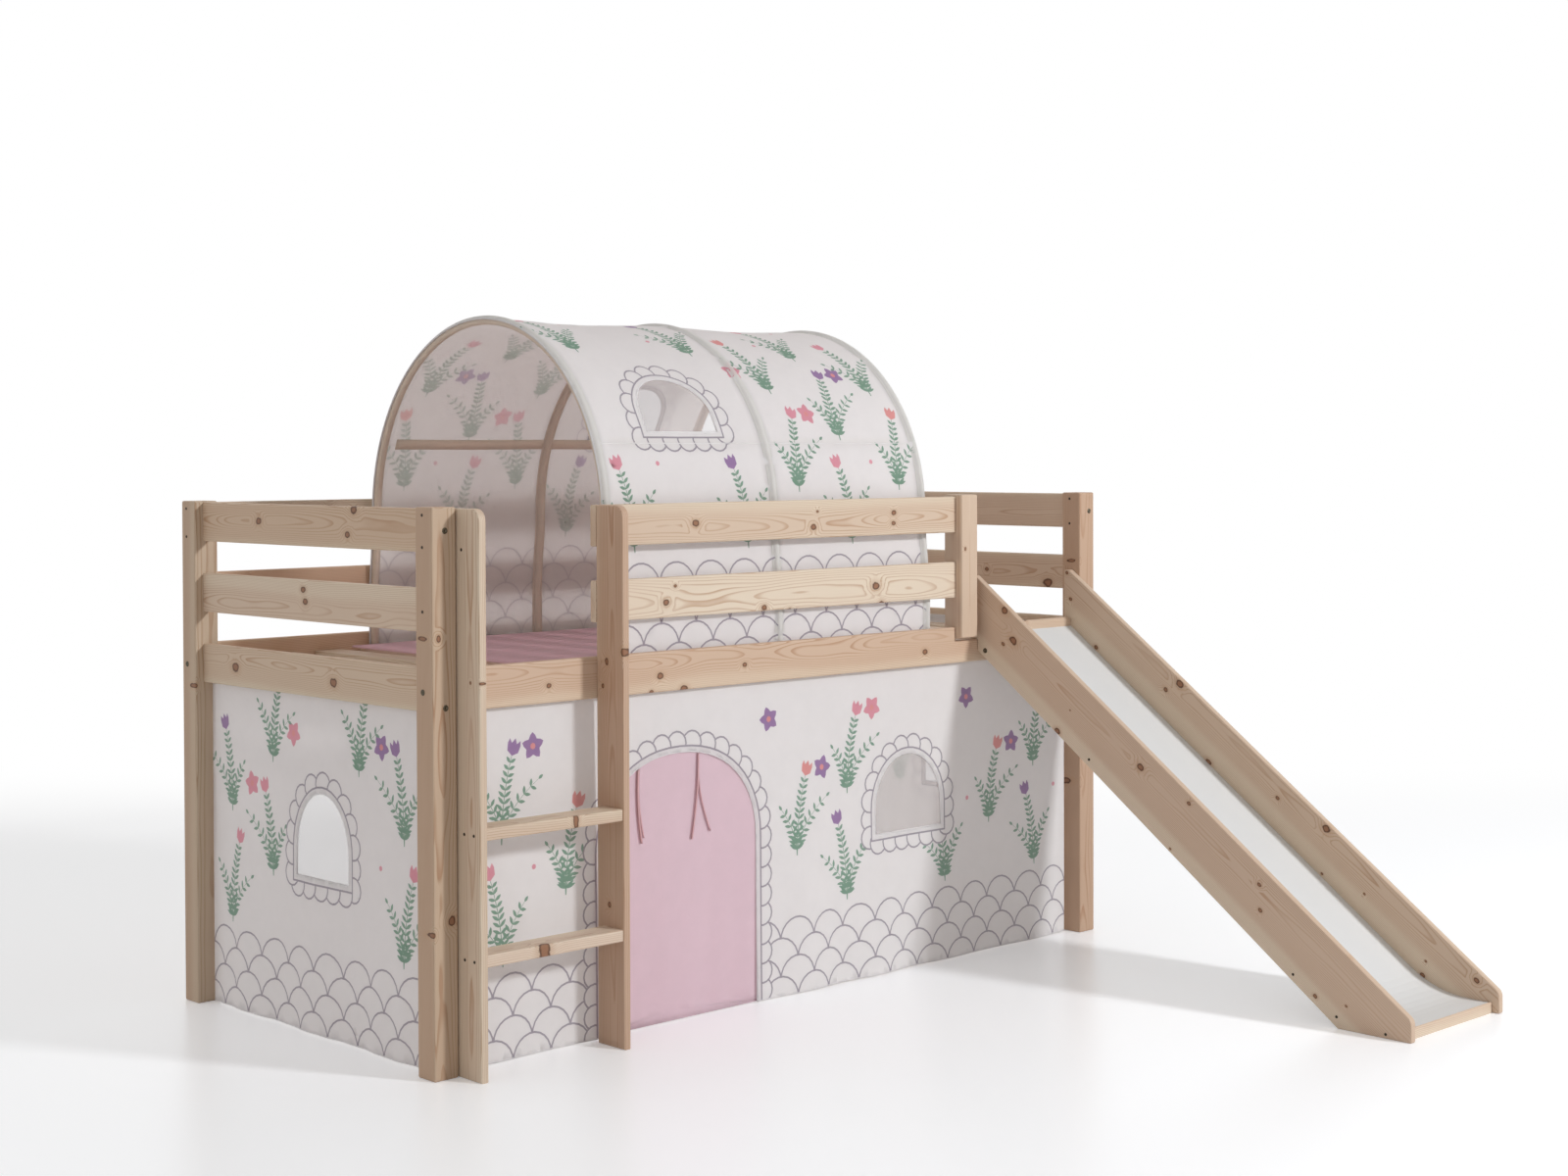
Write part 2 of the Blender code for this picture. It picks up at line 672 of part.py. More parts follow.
def arch_point(station, depth):
    """Place across and up of a station, at a depth under the cover's outer face.

    The legs spread under the arch, and their lowest stretch is upright.
    """
    across, up, down = station
    spread = min(1, down * LEG_STEPS / (LEG_STEPS - 1))
    y = across * (TUNNEL_HALF - depth + TUNNEL_FLARE * spread ** 2 * (3 - 2 * spread))
    z = TUNNEL_LEG * (1 - down) + up * (TUNNEL_ARCH_RISE - depth)
    return y, z


def add_hoops(tunnel, rod):
    """Bent rods that carry the cover, with their feet on the slats."""
    points = [(0, *arch_point(station, HOOP_DEPTH)) for station in arch_stations()]
    for index in range(HOOP_COUNT):
        name = f"tunnel_hoop_{index + 1}"
        curve = tube(name, points, HOOP_DIAMETER)
        hoop = bpy.data.objects.new(name, curve)
        bpy.context.collection.objects.link(hoop)
        curve.materials.append(rod)
        hoop.parent = tunnel
        hoop.location = (index * HOOP_PITCH, 0, 0)


def add_cover(tunnel, fabric):
    """Cloth cover over the hoops, sagging a little between them.

    Turned end for end it looks the same: the front window is in the left bay, the back one in the
    right bay.
    """
    stations = arch_stations()
    bays = HOOP_COUNT - 1
    places = [(index / BAY_COLUMNS * HOOP_PITCH, math.sin(math.pi * index / BAY_COLUMNS) ** 2)
              for index in range(bays * BAY_COLUMNS + 1)]
    places = [(-COVER_OVERHANG, 0)] + places + [(bays * HOOP_PITCH + COVER_OVERHANG, 0)]

    def surface(depth):
        def point(column, row):
            x, sag_share = places[column]
            sag = COVER_SAG * sag_share * max(0, stations[row][1])
            return (x, *arch_point(stations[row], depth + sag))
        return point

    mesh = cloth("tunnel_cover", surface(0), surface(COVER_THICKNESS), len(places) - 1, len(stations) - 1)
    cover = add_piece("tunnel_cover", mesh, fabric, tunnel, (0, 0, 0))
    outline = arched_opening(
        TUNNEL_WINDOW_WIDTH, TUNNEL_WINDOW_SPRING, TUNNEL_WINDOW_RISE, WINDOW_FULLNESS
    )
    reach = TUNNEL_HALF + OVERRUN
    sill = TUNNEL_LEG + TUNNEL_WINDOW_SILL
    from_end = TUNNEL_WINDOW_BAY_SHARE * HOOP_PITCH
    for side, x, y in (("front", from_end, -reach), ("back", bays * HOOP_PITCH - from_end, 0)):
        name = f"tunnel_window_{side}"
        cutter_mesh = prism(name, outline, "Y", reach)
        cut(cover, add_piece(name, cutter_mesh, fabric, tunnel, (x, y, sill)))


# Curtains

def hanging_fold(share, height, flat_height, folds):
    """Outward offset of a hanging curtain: flat along its top, folded more towards its hem."""
    fall = max(0, 1 - height / flat_height)
    return CURTAIN_FOLD_DEPTH * fall * (1 - math.cos(2 * math.pi * folds * share)) / 2


def add_curtain(name, axis, length, top, outward, folds, parent, fabric, place):
    """Curtain along an axis, whose outward side is at -1 or 1 of the other level axis."""
    columns = folds * 6
    height = top - CURTAIN_FLOOR_GAP
    flat_height = RAIL_HEIGHT - CURTAIN_FLAT_BELOW_RAIL - CURTAIN_FLOOR_GAP
    rows = 7

    def surface(offset):
        def point(column, row):
            share = column / columns
            z = flat_height * row / (rows - 1) if row < rows else height
            fold = hanging_fold(share, z, flat_height, folds)
            across = offset * CURTAIN_THICKNESS + outward * fold
            flat = (share * length, across) if axis == "X" else (across, share * length)
            return (*flat, z)
        return point

    mesh = cloth(name, surface(0), surface(1), columns, rows)
    return add_piece(name, mesh, fabric, parent, place)


def cut_opening(curtain, name, outline, axis, parent, fabric, place):
    """Cut an arched opening straight through a curtain that hangs across an axis."""
    reach = 2 * (CURTAIN_FOLD_DEPTH + OVERRUN)
    cutter_mesh = prism(name, outline, axis, reach)
    corner = Vector(place)
    corner["XYZ".index(axis)] -= reach / 2
    cut(curtain, add_piece(name, cutter_mesh, fabric, parent, corner))


def add_front_curtain(curtains, fabric):
    """Curtain under the front rail, with a door and a window."""
    left = POST_SIDE + FRONT_CURTAIN_LEFT_GAP
    length = BED_LENGTH - POST_SIDE - FRONT_CURTAIN_RIGHT_GAP - left
    y = RAIL_INNER + SEAT
    curtain = add_curtain(
        "curtain_front", "X", length, BEARER_BASE - SEAT, -1, FRONT_CURTAIN_FOLDS,
        curtains, fabric, (left, y, CURTAIN_FLOOR_GAP),
    )
    door = arched_opening(DOOR_WIDTH, DOOR_SPRING + OVERRUN, DOOR_RISE, DOOR_FULLNESS)
    cut_opening(curtain, "door_opening", door, "Y", curtains, fabric, (DOOR_CENTRE, y, -OVERRUN))
    window = arched_opening(FRONT_WINDOW_WIDTH, WINDOW_SPRING, WINDOW_RISE, WINDOW_FULLNESS)
    place = (FRONT_WINDOW_CENTRE, y, WINDOW_SILL)
    cut_opening(curtain, "front_window", window, "Y", curtains, fabric, place)


def add_end_curtains(curtains, fabric):
    """Curtain under each end, with a window."""
    left_x = END_BOARD_INSET + BOARD_THICKNESS + SEAT
    right_x = BED_LENGTH - left_x - CURTAIN_THICKNESS
    start = POST_SIDE + END_CURTAIN_GAP
    length = BED_DEPTH - start - start
    window = arched_opening(END_WINDOW_WIDTH, WINDOW_SPRING, WINDOW_RISE, WINDOW_FULLNESS)
    for side, x, outward in (("left", left_x, -1), ("right", right_x, 1)):
        name = f"curtain_{side}"
        curtain = add_curtain(
            name, "Y", length, RAIL_HEIGHT + END_CURTAIN_LAP, outward, END_CURTAIN_FOLDS,
            curtains, fabric, (x, start, CURTAIN_FLOOR_GAP),
        )
        place = (x, END_WINDOW_CENTRE, WINDOW_SILL)
        cut_opening(curtain, f"{side}_window", window, "X", curtains, fabric, place)


def add_door_flap(curtains, fabric):
    """Cloth flap behind the door opening, hung from its top edge, which is its hinge."""
    half = DOOR_WIDTH / 2 + FLAP_OVERLAP
    top = DOOR_SPRING + DOOR_RISE + FLAP_HEADING
    spring = DOOR_SPRING
    drop = top - CURTAIN_FLOOR_GAP
    columns = FLAP_FOLDS * 8

    def surface(offset):
        def point(column, row):
            share = 2 * column / columns - 1
            edge = spring + (top - spring) * (1 - abs(share) ** DOOR_FULLNESS) ** (1 / DOOR_FULLNESS)
            z = (edge - CURTAIN_FLOOR_GAP) * row / FLAP_ROWS - drop
            wave = (1 - math.cos(math.pi * FLAP_FOLDS * share)) / 2
            fold = FLAP_FOLD_DEPTH * wave * (-z / drop) ** 2
            return share * half, offset * FLAP_THICKNESS + fold, z
        return point

    mesh = cloth("door_flap", surface(-1 / 2), surface(1 / 2), columns, FLAP_ROWS)
    place = (DOOR_CENTRE, CURTAIN_BACK + SEAT + FLAP_THICKNESS / 2, top)
    add_piece("door_flap", mesh, fabric, curtains, place)


# The whole part

def main():
    clear_scene()
    pine = principled("pine", (0.62, 0.42, 0.26), 0.55)
    panel_white = principled("panel_white", (0.86, 0.87, 0.88), 0.25)
    print_cloth = principled("print_cloth", (0.84, 0.78, 0.79), 0.9)
    pink_cloth = principled("pink_cloth", (0.62, 0.40, 0.48), 0.9)
    rod_white = principled("rod_white", (0.80, 0.78, 0.76), 0.5)

    bed = group("bed", (-BED_LENGTH / 2, BED_FRONT, 0))
    add_posts(bed, pine)
    add_end_boards(bed, pine)
    add_back_boards(bed, pine)
    add_front_rail(bed, pine)
    add_front_guard(bed, pine)
    add_slats(bed, pine)
    add_mat(bed, pink_cloth)

    add_ladder(group("ladder", (LADDER_LEFT, 0, 0), bed), pine)

    slide = group("slide", (SLIDE_LEFT, 0, 0), bed)
    add_slide_boards(slide, pine)
    add_slide_panel(slide, panel_white)
    add_slide_bars(slide, pine)
    add_slide_battens(slide, pine)

    tunnel = group("tunnel", (TUNNEL_START, TUNNEL_MIDDLE, SLAT_TOP + SEAT), bed)
    add_hoops(tunnel, rod_white)
    add_cover(tunnel, print_cloth)

    curtains = group("curtains", (0, 0, 0), bed)
    add_front_curtain(curtains, print_cloth)
    add_end_curtains(curtains, print_cloth)
    add_door_flap(curtains, pink_cloth)


main()
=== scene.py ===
# %% [markdown]
# # A loft bed with a slide, a play tunnel and curtains
#
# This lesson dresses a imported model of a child's loft bed. The wooden pieces keep the solids of the
# frame and get grain and knots. The cloth pieces are made new: each one is cut flat, with its
# printed pattern cut into the sheet, and is then hung or bent into place, as it would be in a
# workshop.

import math
import random

import bpy
import numpy as np
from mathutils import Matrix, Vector, noise
from mathutils.geometry import delaunay_2d_cdt


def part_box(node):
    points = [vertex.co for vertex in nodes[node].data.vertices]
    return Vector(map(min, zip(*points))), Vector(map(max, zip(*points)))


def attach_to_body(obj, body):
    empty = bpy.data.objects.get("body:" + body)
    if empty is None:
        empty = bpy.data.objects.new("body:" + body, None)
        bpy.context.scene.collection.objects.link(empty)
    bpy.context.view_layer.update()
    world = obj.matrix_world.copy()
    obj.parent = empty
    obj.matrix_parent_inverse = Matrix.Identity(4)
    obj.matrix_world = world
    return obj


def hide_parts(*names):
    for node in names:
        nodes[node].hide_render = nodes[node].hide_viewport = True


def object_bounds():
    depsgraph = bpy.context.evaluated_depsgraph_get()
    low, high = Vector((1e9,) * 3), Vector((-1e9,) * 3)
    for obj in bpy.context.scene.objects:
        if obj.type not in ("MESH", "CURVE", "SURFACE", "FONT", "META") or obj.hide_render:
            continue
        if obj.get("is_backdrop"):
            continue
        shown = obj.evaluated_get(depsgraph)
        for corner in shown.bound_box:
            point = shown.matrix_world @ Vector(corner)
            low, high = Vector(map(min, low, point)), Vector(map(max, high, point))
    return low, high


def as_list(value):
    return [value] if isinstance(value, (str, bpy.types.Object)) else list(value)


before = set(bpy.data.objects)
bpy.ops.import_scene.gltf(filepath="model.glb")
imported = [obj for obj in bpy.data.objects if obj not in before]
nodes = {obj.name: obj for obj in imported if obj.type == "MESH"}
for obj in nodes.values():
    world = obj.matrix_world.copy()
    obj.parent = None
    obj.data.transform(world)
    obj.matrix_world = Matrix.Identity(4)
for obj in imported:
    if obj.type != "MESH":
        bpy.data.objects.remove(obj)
frame_box = [list(corner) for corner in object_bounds()]
print("nodes in the frame:", len(nodes), "box:", frame_box)

# %% [markdown]
# ## The camera
#
# A camera could be aimed by eye, but edges that should meet then miss each other by a few pixels.
# Here its place, turn and lens come from fitting the known corners of the bed to the picture, and a
# small vertical shift keeps the posts upright while the bed sits low in the frame.

# %% Set the camera
LENS = 52.7017
SENSOR = 36
VERTICAL_SHIFT = -0.06068
CAMERA_PLACE = (-3.67387, -3.63349, 1.24684)
CAMERA_TURN = (88.98350, 0.17428, -43.88121)

camera_data = bpy.data.cameras.new("camera")
camera_data.lens = LENS
camera_data.sensor_width = SENSOR
camera_data.shift_y = VERTICAL_SHIFT
camera = bpy.data.objects.new("camera", camera_data)
camera.location = CAMERA_PLACE
camera.rotation_euler = [math.radians(angle) for angle in CAMERA_TURN]
bpy.context.scene.collection.objects.link(camera)
bpy.context.scene.camera = camera
bpy.context.scene.view_settings.view_transform = "Standard"
print("camera at", tuple(camera.location))

# %% [markdown]
# ## Small tools for finishes
#
# A procedural finish is a chain of small steps, each with a few inputs. Writing the chain by hand
# takes many lines a step, so these helpers add one step in one line and give back its output.

# %% Helpers for finishes
def new_finish(name, roughness=0.6, specular=0.3):
    """Material with one Principled shader, ready for steps to be linked into it."""
    finish = bpy.data.materials.new(name)
    finish.use_nodes = True
    shader = finish.node_tree.nodes["Principled BSDF"]
    shader.inputs["Roughness"].default_value = roughness
    shader.inputs["Specular IOR Level"].default_value = specular
    return finish, finish.node_tree, shader


def feed(tree, socket, value):
    """Link an input to another step, or fill it with a plain value."""
    if isinstance(value, bpy.types.NodeSocket):
        tree.links.new(value, socket)
    elif value is not None:
        socket.default_value = value


def step(tree, kind, *inputs, **settings):
    """Add one step, link or fill its first inputs, and give back its first output."""
    made = tree.nodes.new("ShaderNode" + kind)
    for name, value in settings.items():
        setattr(made, name, value)
    for socket, value in zip(made.inputs, inputs):
        feed(tree, socket, value)
    return made.outputs[0]


def calc(tree, operation, *inputs):
    """One step of arithmetic."""
    return step(tree, "Math", *inputs, operation=operation)


def fade(tree, value, start, end, high=1.0, low=0.0):
    """Smooth fall from high to low as the value goes from start to end."""
    return step(tree, "MapRange", value, start, end, high, low, interpolation_type="SMOOTHSTEP")


def soft_noise(tree, place, scale, detail, roughness):
    """Soft noise. Its step keeps an input that is not used here between place and scale."""
    return step(tree, "TexNoise", place, None, scale, detail, roughness)


def blend_colours(tree, share, first, second):
    """Colour between two others. The Mix step keeps its colours in its inputs 6 and 7."""
    made = tree.nodes.new("ShaderNodeMix")
    made.data_type = "RGBA"
    feed(tree, made.inputs[0], share)
    for place, colour in ((6, first), (7, second)):
        feed(tree, made.inputs[place], (*colour, 1) if isinstance(colour, tuple) else colour)
    return made.outputs[2]


print("steps of a finish can be linked")

# %% Helpers for relief and places
def bump(tree, shader, height, strength, distance):
    """Shade small relief from a height."""
    made = tree.nodes.new("ShaderNodeBump")
    made.inputs["Strength"].default_value = strength
    made.inputs["Distance"].default_value = distance
    tree.links.new(height, made.inputs["Height"])
    tree.links.new(made.outputs["Normal"], shader.inputs["Normal"])


def object_place(tree):
    """Place on the object, in metres."""
    return tree.nodes.new("ShaderNodeTexCoord").outputs["Object"]


def distance_along(tree, place, direction):
    """Distance of a place along a direction."""
    made = tree.nodes.new("ShaderNodeVectorMath")
    made.operation = "DOT_PRODUCT"
    tree.links.new(place, made.inputs[0])
    made.inputs[1].default_value = direction
    return made.outputs["Value"]


print("helpers for finishes are ready")

# %% [markdown]
# ## The studio
#
# The bed stands on a pale floor that fades into a white background. A sky texture would tint the
# wood, so the light is plain: a white world, brighter behind the bed than beside the camera, fills
# the shadows, and one soft lamp at the front right draws the shadows of the ladder and the slide on
# the curtain. Only the camera and the reflections see the bright background, so the white does not
# wash out the cloth.

# %% Lay the floor
FLOOR_RADIUS = 40
FLOOR_SIDES = 64
FLOOR_COLOUR = (0.90, 0.90, 0.91, 1)
FLOOR_LIFT = 0.19
INTO_PICTURE = (0.693, 0.721, 0)
WALL_START = 1.9
WALL_END = 3.9


def seen_directly(tree):
    """One for rays of the camera, of reflections and through glass, and none for the rest."""
    paths = tree.nodes.new("ShaderNodeLightPath").outputs
    direct = calc(tree, "MAXIMUM", paths["Is Camera Ray"], paths["Is Glossy Ray"])
    return calc(tree, "MAXIMUM", direct, paths["Is Transmission Ray"])


def floor_finish():
    """Pale floor that keeps the bed's shadow and turns white with distance."""
    finish, tree, shader = new_finish("studio_floor", 0.3, 0.35)
    shader.inputs["Base Color"].default_value = FLOOR_COLOUR
    direct = seen_directly(tree)
    lift = step(tree, "Emission", None, calc(tree, "MULTIPLY", direct, FLOOR_LIFT))
    lifted = step(tree, "AddShader", shader.outputs[0], lift)
    depth = distance_along(tree, object_place(tree), INTO_PICTURE)
    far = fade(tree, depth, WALL_START, WALL_END, 0.0, 1.0)
    white = step(tree, "Emission")
    faded = step(tree, "MixShader", calc(tree, "MULTIPLY", far, direct), lifted, white)
    tree.links.new(faded, tree.nodes["Material Output"].inputs["Surface"])
    return finish


def build_floor():
    """One wide round floor under the bed."""
    angles = [2 * math.pi * side / FLOOR_SIDES for side in range(FLOOR_SIDES)]
    corners = [(FLOOR_RADIUS * math.cos(angle), FLOOR_RADIUS * math.sin(angle), 0)
               for angle in angles]
    mesh = bpy.data.meshes.new("studio_floor")
    mesh.from_pydata(corners, [], [tuple(range(FLOOR_SIDES))])
    mesh.materials.append(floor_finish())
    floor = bpy.data.objects.new("studio_floor", mesh)
    bpy.context.scene.collection.objects.link(floor)
    floor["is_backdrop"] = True


build_floor()
print("floor radius:", FLOOR_RADIUS)

# %% Light the studio
FILL_LIGHT = 0.46
FILL_FROM = (-0.46, 0.86, 0.20)
FILL_LEAN = 0.95
LAMP_PLACE = Vector((2.2, -5.9, 3.8))
LAMP_AIM = Vector((0, 0.1, 0.55))
LAMP_SIDE = 0.75
LAMP_POWER = 290
LAMP_COLOUR = (0.97, 1.0, 1.03)


def build_world():
    """White world: bright for what is seen directly, softer as a light."""
    world = bpy.data.worlds.new("studio_world")
    world.use_nodes = True
    tree = world.node_tree
    background = tree.nodes["Background"]
    background.inputs["Color"].default_value = (1, 1, 1, 1)
    direction = tree.nodes.new("ShaderNodeTexCoord").outputs["Generated"]
    lean = calc(tree, "MULTIPLY_ADD", distance_along(tree, direction, FILL_FROM), FILL_LEAN, 1.0)
    fill = calc(tree, "MULTIPLY", calc(tree, "MAXIMUM", lean, 0.0), FILL_LIGHT)
    direct = seen_directly(tree)
    indirect = calc(tree, "MULTIPLY", calc(tree, "SUBTRACT", 1.0, direct), fill)
    tree.links.new(calc(tree, "ADD", indirect, direct), background.inputs["Strength"])
    bpy.context.scene.world = world


def build_lamp():
    """Square soft lamp, aimed at the bed."""
    data = bpy.data.lights.new("front_lamp", "AREA")
    data.shape = "SQUARE"
    data.size = LAMP_SIDE
    data.energy = LAMP_POWER
    data.color = LAMP_COLOUR
    lamp = bpy.data.objects.new("front_lamp", data)
    lamp.location = LAMP_PLACE
    lamp.rotation_euler = (LAMP_AIM - LAMP_PLACE).to_track_quat("-Z", "Y").to_euler()
    bpy.context.scene.collection.objects.link(lamp)


build_world()
build_lamp()
print("lamp at", tuple(round(part, 2) for part in LAMP_PLACE))

# %% [markdown]
# ## Pine
#
# The real boards are clear-lacquered pine: pale wood, thin darker lines of late wood, and brown
# knots that push the lines aside. A stretched noise would give streaks, but no rings that close
# round a knot. A board is a slice of a trunk, so the pattern is worked out in the round: the
# distance from a far-off pith gives the lines, slow noise along the grain lets them wander, and
# each knot adds a hump to that distance, so that the lines bend round it by themselves.

# %% Name the colours and scales of pine
SAP_WOOD = (0.765, 0.645, 0.500)
HEART_WOOD = (0.640, 0.465, 0.345)
LATE_WOOD = (0.455, 0.255, 0.145)
KNOT_RIM = (0.120, 0.056, 0.032)
KNOT_HEART = (0.330, 0.160, 0.088)
KNOT_HALO = (0.520, 0.325, 0.200)
RINGS_PER_METRE = 320
# How much a ring widens round a knot, and how a knot is drawn out along the grain
KNOT_HUMP = 0.009
KNOT_STRETCH = (0.75, 1, 0.25)
KNOT_SIZE = 0.85
# Scales of the noise along and across the grain
WANDER_SCALES = (1.1, 4.0)
RIPPLE_SCALES = (5.0, 22.0)
FIBRE_SCALES = (12.0, 500.0)
WANDER = 0.09
RIPPLE = 0.004
PITH_DEPTHS = (0.022, 0.05)
# Shares of a ring at which its late line starts to darken and is darkest
LATE_START, LATE_PEAK = 0.55, 0.92
FIBRE_STRENGTH = 0.14
# Reach of the heart wood from the pith and its strength, each with what a brown board adds
HEART_REACH, HEART_STRENGTH = (0.025, 0.06), (0.35, 0.6)
HEART_FADE = (0.012, 0.006)
# Where the halo, the rim and the heart of a knot fade, in knot radii, and how strong they are
HALO_FADE, RIM_FADE, KNOT_HEART_FADE = (0.9, 2.6, 0.5, 0.0), (0.85, 1.15), (0.45, 0.85, 0.9, 0.0)
# The slide boards slope, so their box says nothing about their width. A board's middle runs a
# little over the line that passes at SLOPE_HEIGHT over the origin.
SLOPE = 0.73494
SLOPE_ANGLE = math.atan(SLOPE)
SLOPE_HEIGHT = 0.76
OVER_SLOPE = 0.02
SLIDE_BOARD_HALF = 0.075
SLIDE_BOARD_MIDDLE = -OVER_SLOPE - SLOPE_HEIGHT * math.cos(SLOPE_ANGLE)
print("rings of pine are", round(1000 / RINGS_PER_METRE, 1), "mm apart")

# %% Grow the rings round the pith
def stretched(tree, parts, scales, shift=0.0):
    """Place on a board, scaled along the grain and across it."""
    length, width, depth = parts
    return step(tree, "CombineXYZ", calc(tree, "MULTIPLY_ADD", length, scales[0], shift),
                calc(tree, "MULTIPLY", width, scales[1]), calc(tree, "MULTIPLY", depth, scales[1]))


def square(tree, value):
    """The value times itself."""
    return calc(tree, "MULTIPLY", value, value)


def pith_distance(tree, parts, name, box, grain, small, shift, draw, wavy):
    """Distance from a wandering pith, which gives the rings."""
    low, high = box
    size, centre = high - low, (low + high) / 2
    half_width = abs(size.dot(Vector([abs(part) for part in grain[1]]))) / 2
    middle = [-centre.dot(direction) for direction in grain]
    if name.startswith("slide_board"):
        half_width, middle[1] = SLIDE_BOARD_HALF, SLIDE_BOARD_MIDDLE
    slow = stretched(tree, parts, WANDER_SCALES, shift)
    wander = soft_noise(tree, slow, scale=1.5, detail=2.0, roughness=0.5)
    ripple = soft_noise(tree, small, scale=1.0, detail=2.0, roughness=0.5)
    wander = calc(tree, "MULTIPLY_ADD", wander, WANDER * wavy, -WANDER / 2 * wavy)
    wander = calc(tree, "MULTIPLY_ADD", ripple, RIPPLE, calc(tree, "SUBTRACT", wander, RIPPLE / 2))
    side_shift = middle[1] + draw.uniform(-0.5, 0.5) * half_width
    pith_depth = middle[2] + draw.choice((-1, 1)) * draw.uniform(*PITH_DEPTHS)
    across = calc(tree, "ADD", parts[1], side_shift)
    through = calc(tree, "ADD", calc(tree, "ADD", parts[2], pith_depth), wander)
    return calc(tree, "SQRT", calc(tree, "ADD", square(tree, across), square(tree, through)))


print("the pith lies", PITH_DEPTHS, "m from the middle of a board")

# %% Push the rings aside at the knots
def knot_distance(tree, place, parts, grain, knots):
    """Distance from the nearest knot in knot radii, with a rough edge, or nothing without knots."""
    board_place = step(tree, "CombineXYZ", calc(tree, "MULTIPLY", parts[0], KNOT_STRETCH[0]),
                       parts[1], calc(tree, "MULTIPLY", parts[2], KNOT_STRETCH[2]))
    nearest = None
    for spot, radius in knots:
        made = tree.nodes.new("ShaderNodeVectorMath")
        made.operation = "DISTANCE"
        tree.links.new(board_place, made.inputs[0])
        made.inputs[1].default_value = [share * spot.dot(direction)
                                        for share, direction in zip(KNOT_STRETCH, grain)]
        scaled = calc(tree, "DIVIDE", made.outputs["Value"], KNOT_SIZE * radius)
        nearest = scaled if nearest is None else calc(tree, "SMOOTH_MIN", nearest, scaled, 0.4)
    if nearest is None:
        return None
    rough = soft_noise(tree, place, scale=70.0, detail=3.0, roughness=0.55)
    return calc(tree, "ADD", nearest, calc(tree, "MULTIPLY_ADD", rough, 1.0, -0.5))


def colour_knots(tree, wood, nearest):
    """Paint the halo, the dark rim and the heart of the knots over the wood."""
    wood = blend_colours(tree, fade(tree, nearest, *HALO_FADE), wood, KNOT_HALO)
    wood = blend_colours(tree, fade(tree, nearest, *RIM_FADE), wood, KNOT_RIM)
    return blend_colours(tree, fade(tree, nearest, *KNOT_HEART_FADE), wood, KNOT_HEART)


print("a knot is painted at", KNOT_SIZE, "of its radius")

# %% Put the pine together
def pine(name, box, grain, knots, seed, tone, heart, wavy):
    """Pine for a board in a box, with its grain along the first of three directions.

    Knots are (place, radius). Tone darkens, lightens or warms the board, on a few boards as painted
    light or shade, heart says how much of it is brown heart wood, and wavy how far the lines wander.
    """
    draw = random.Random(seed)
    finish, tree, shader = new_finish("pine_" + name, roughness=0.5, specular=0.3)
    place = object_place(tree)
    parts = [distance_along(tree, place, tuple(direction)) for direction in grain]
    shift = draw.uniform(0, 40)
    small = stretched(tree, parts, RIPPLE_SCALES, shift)
    ring = pith_distance(tree, parts, name, box, grain, small, shift, draw, wavy)
    nearest = knot_distance(tree, place, parts, grain, knots)
    if nearest is not None:
        ring = calc(tree, "ADD", ring, fade(tree, nearest, 0.0, 4.0, KNOT_HUMP, 0.0))

    # A late line darkens slowly over half a ring and ends sharply
    phase = calc(tree, "FRACT", calc(tree, "MULTIPLY", ring, RINGS_PER_METRE))
    rise = fade(tree, phase, LATE_START, LATE_PEAK, 0.0, 1.0)
    lines = calc(tree, "MULTIPLY", rise, fade(tree, phase, LATE_PEAK, 1.0, 1.0, 0.0))
    along = stretched(tree, parts, FIBRE_SCALES)
    fibres = soft_noise(tree, along, scale=1.0, detail=2.0, roughness=0.6)
    blotches = soft_noise(tree, small, scale=0.7, detail=3.0, roughness=0.55)

    sap, core, late = [tuple(part * share for part, share in zip(colour, tone))
                       for colour in (SAP_WOOD, HEART_WOOD, LATE_WOOD)]
    edge = HEART_REACH[0] + HEART_REACH[1] * heart
    brown = fade(tree, ring, edge - HEART_FADE[0], edge + HEART_FADE[1],
                 HEART_STRENGTH[0] + HEART_STRENGTH[1] * heart, 0.0)
    wood = blend_colours(tree, brown, sap, core)
    wood = blend_colours(tree, calc(tree, "MULTIPLY_ADD", blotches, 0.5, -0.12), wood, core)
    strength = fade(tree, blotches, 0.3, 0.7, 0.75, 0.3)
    wood = blend_colours(tree, calc(tree, "MULTIPLY", lines, strength), wood, late)
    wood = blend_colours(tree, calc(tree, "MULTIPLY", fibres, FIBRE_STRENGTH), wood, late)
    if nearest is not None:
        wood = colour_knots(tree, wood, nearest)
    tree.links.new(wood, shader.inputs["Base Color"])
    relief = calc(tree, "MULTIPLY_ADD", lines, 0.5, calc(tree, "MULTIPLY", fibres, 0.5))
    bump(tree, shader, relief, strength=0.25, distance=0.0004)
    return finish


print("pine is ready")

# %% [markdown]
# ## Which way the grain runs
#
# A joiner cuts every board with the grain along its length. One shared pine would run the same way
# in all of them, so each piece gets its own, turned to its own length. The knots that catch the eye
# are placed one by one where the real boards have them, and the boards that hide get a few
# scattered ones.

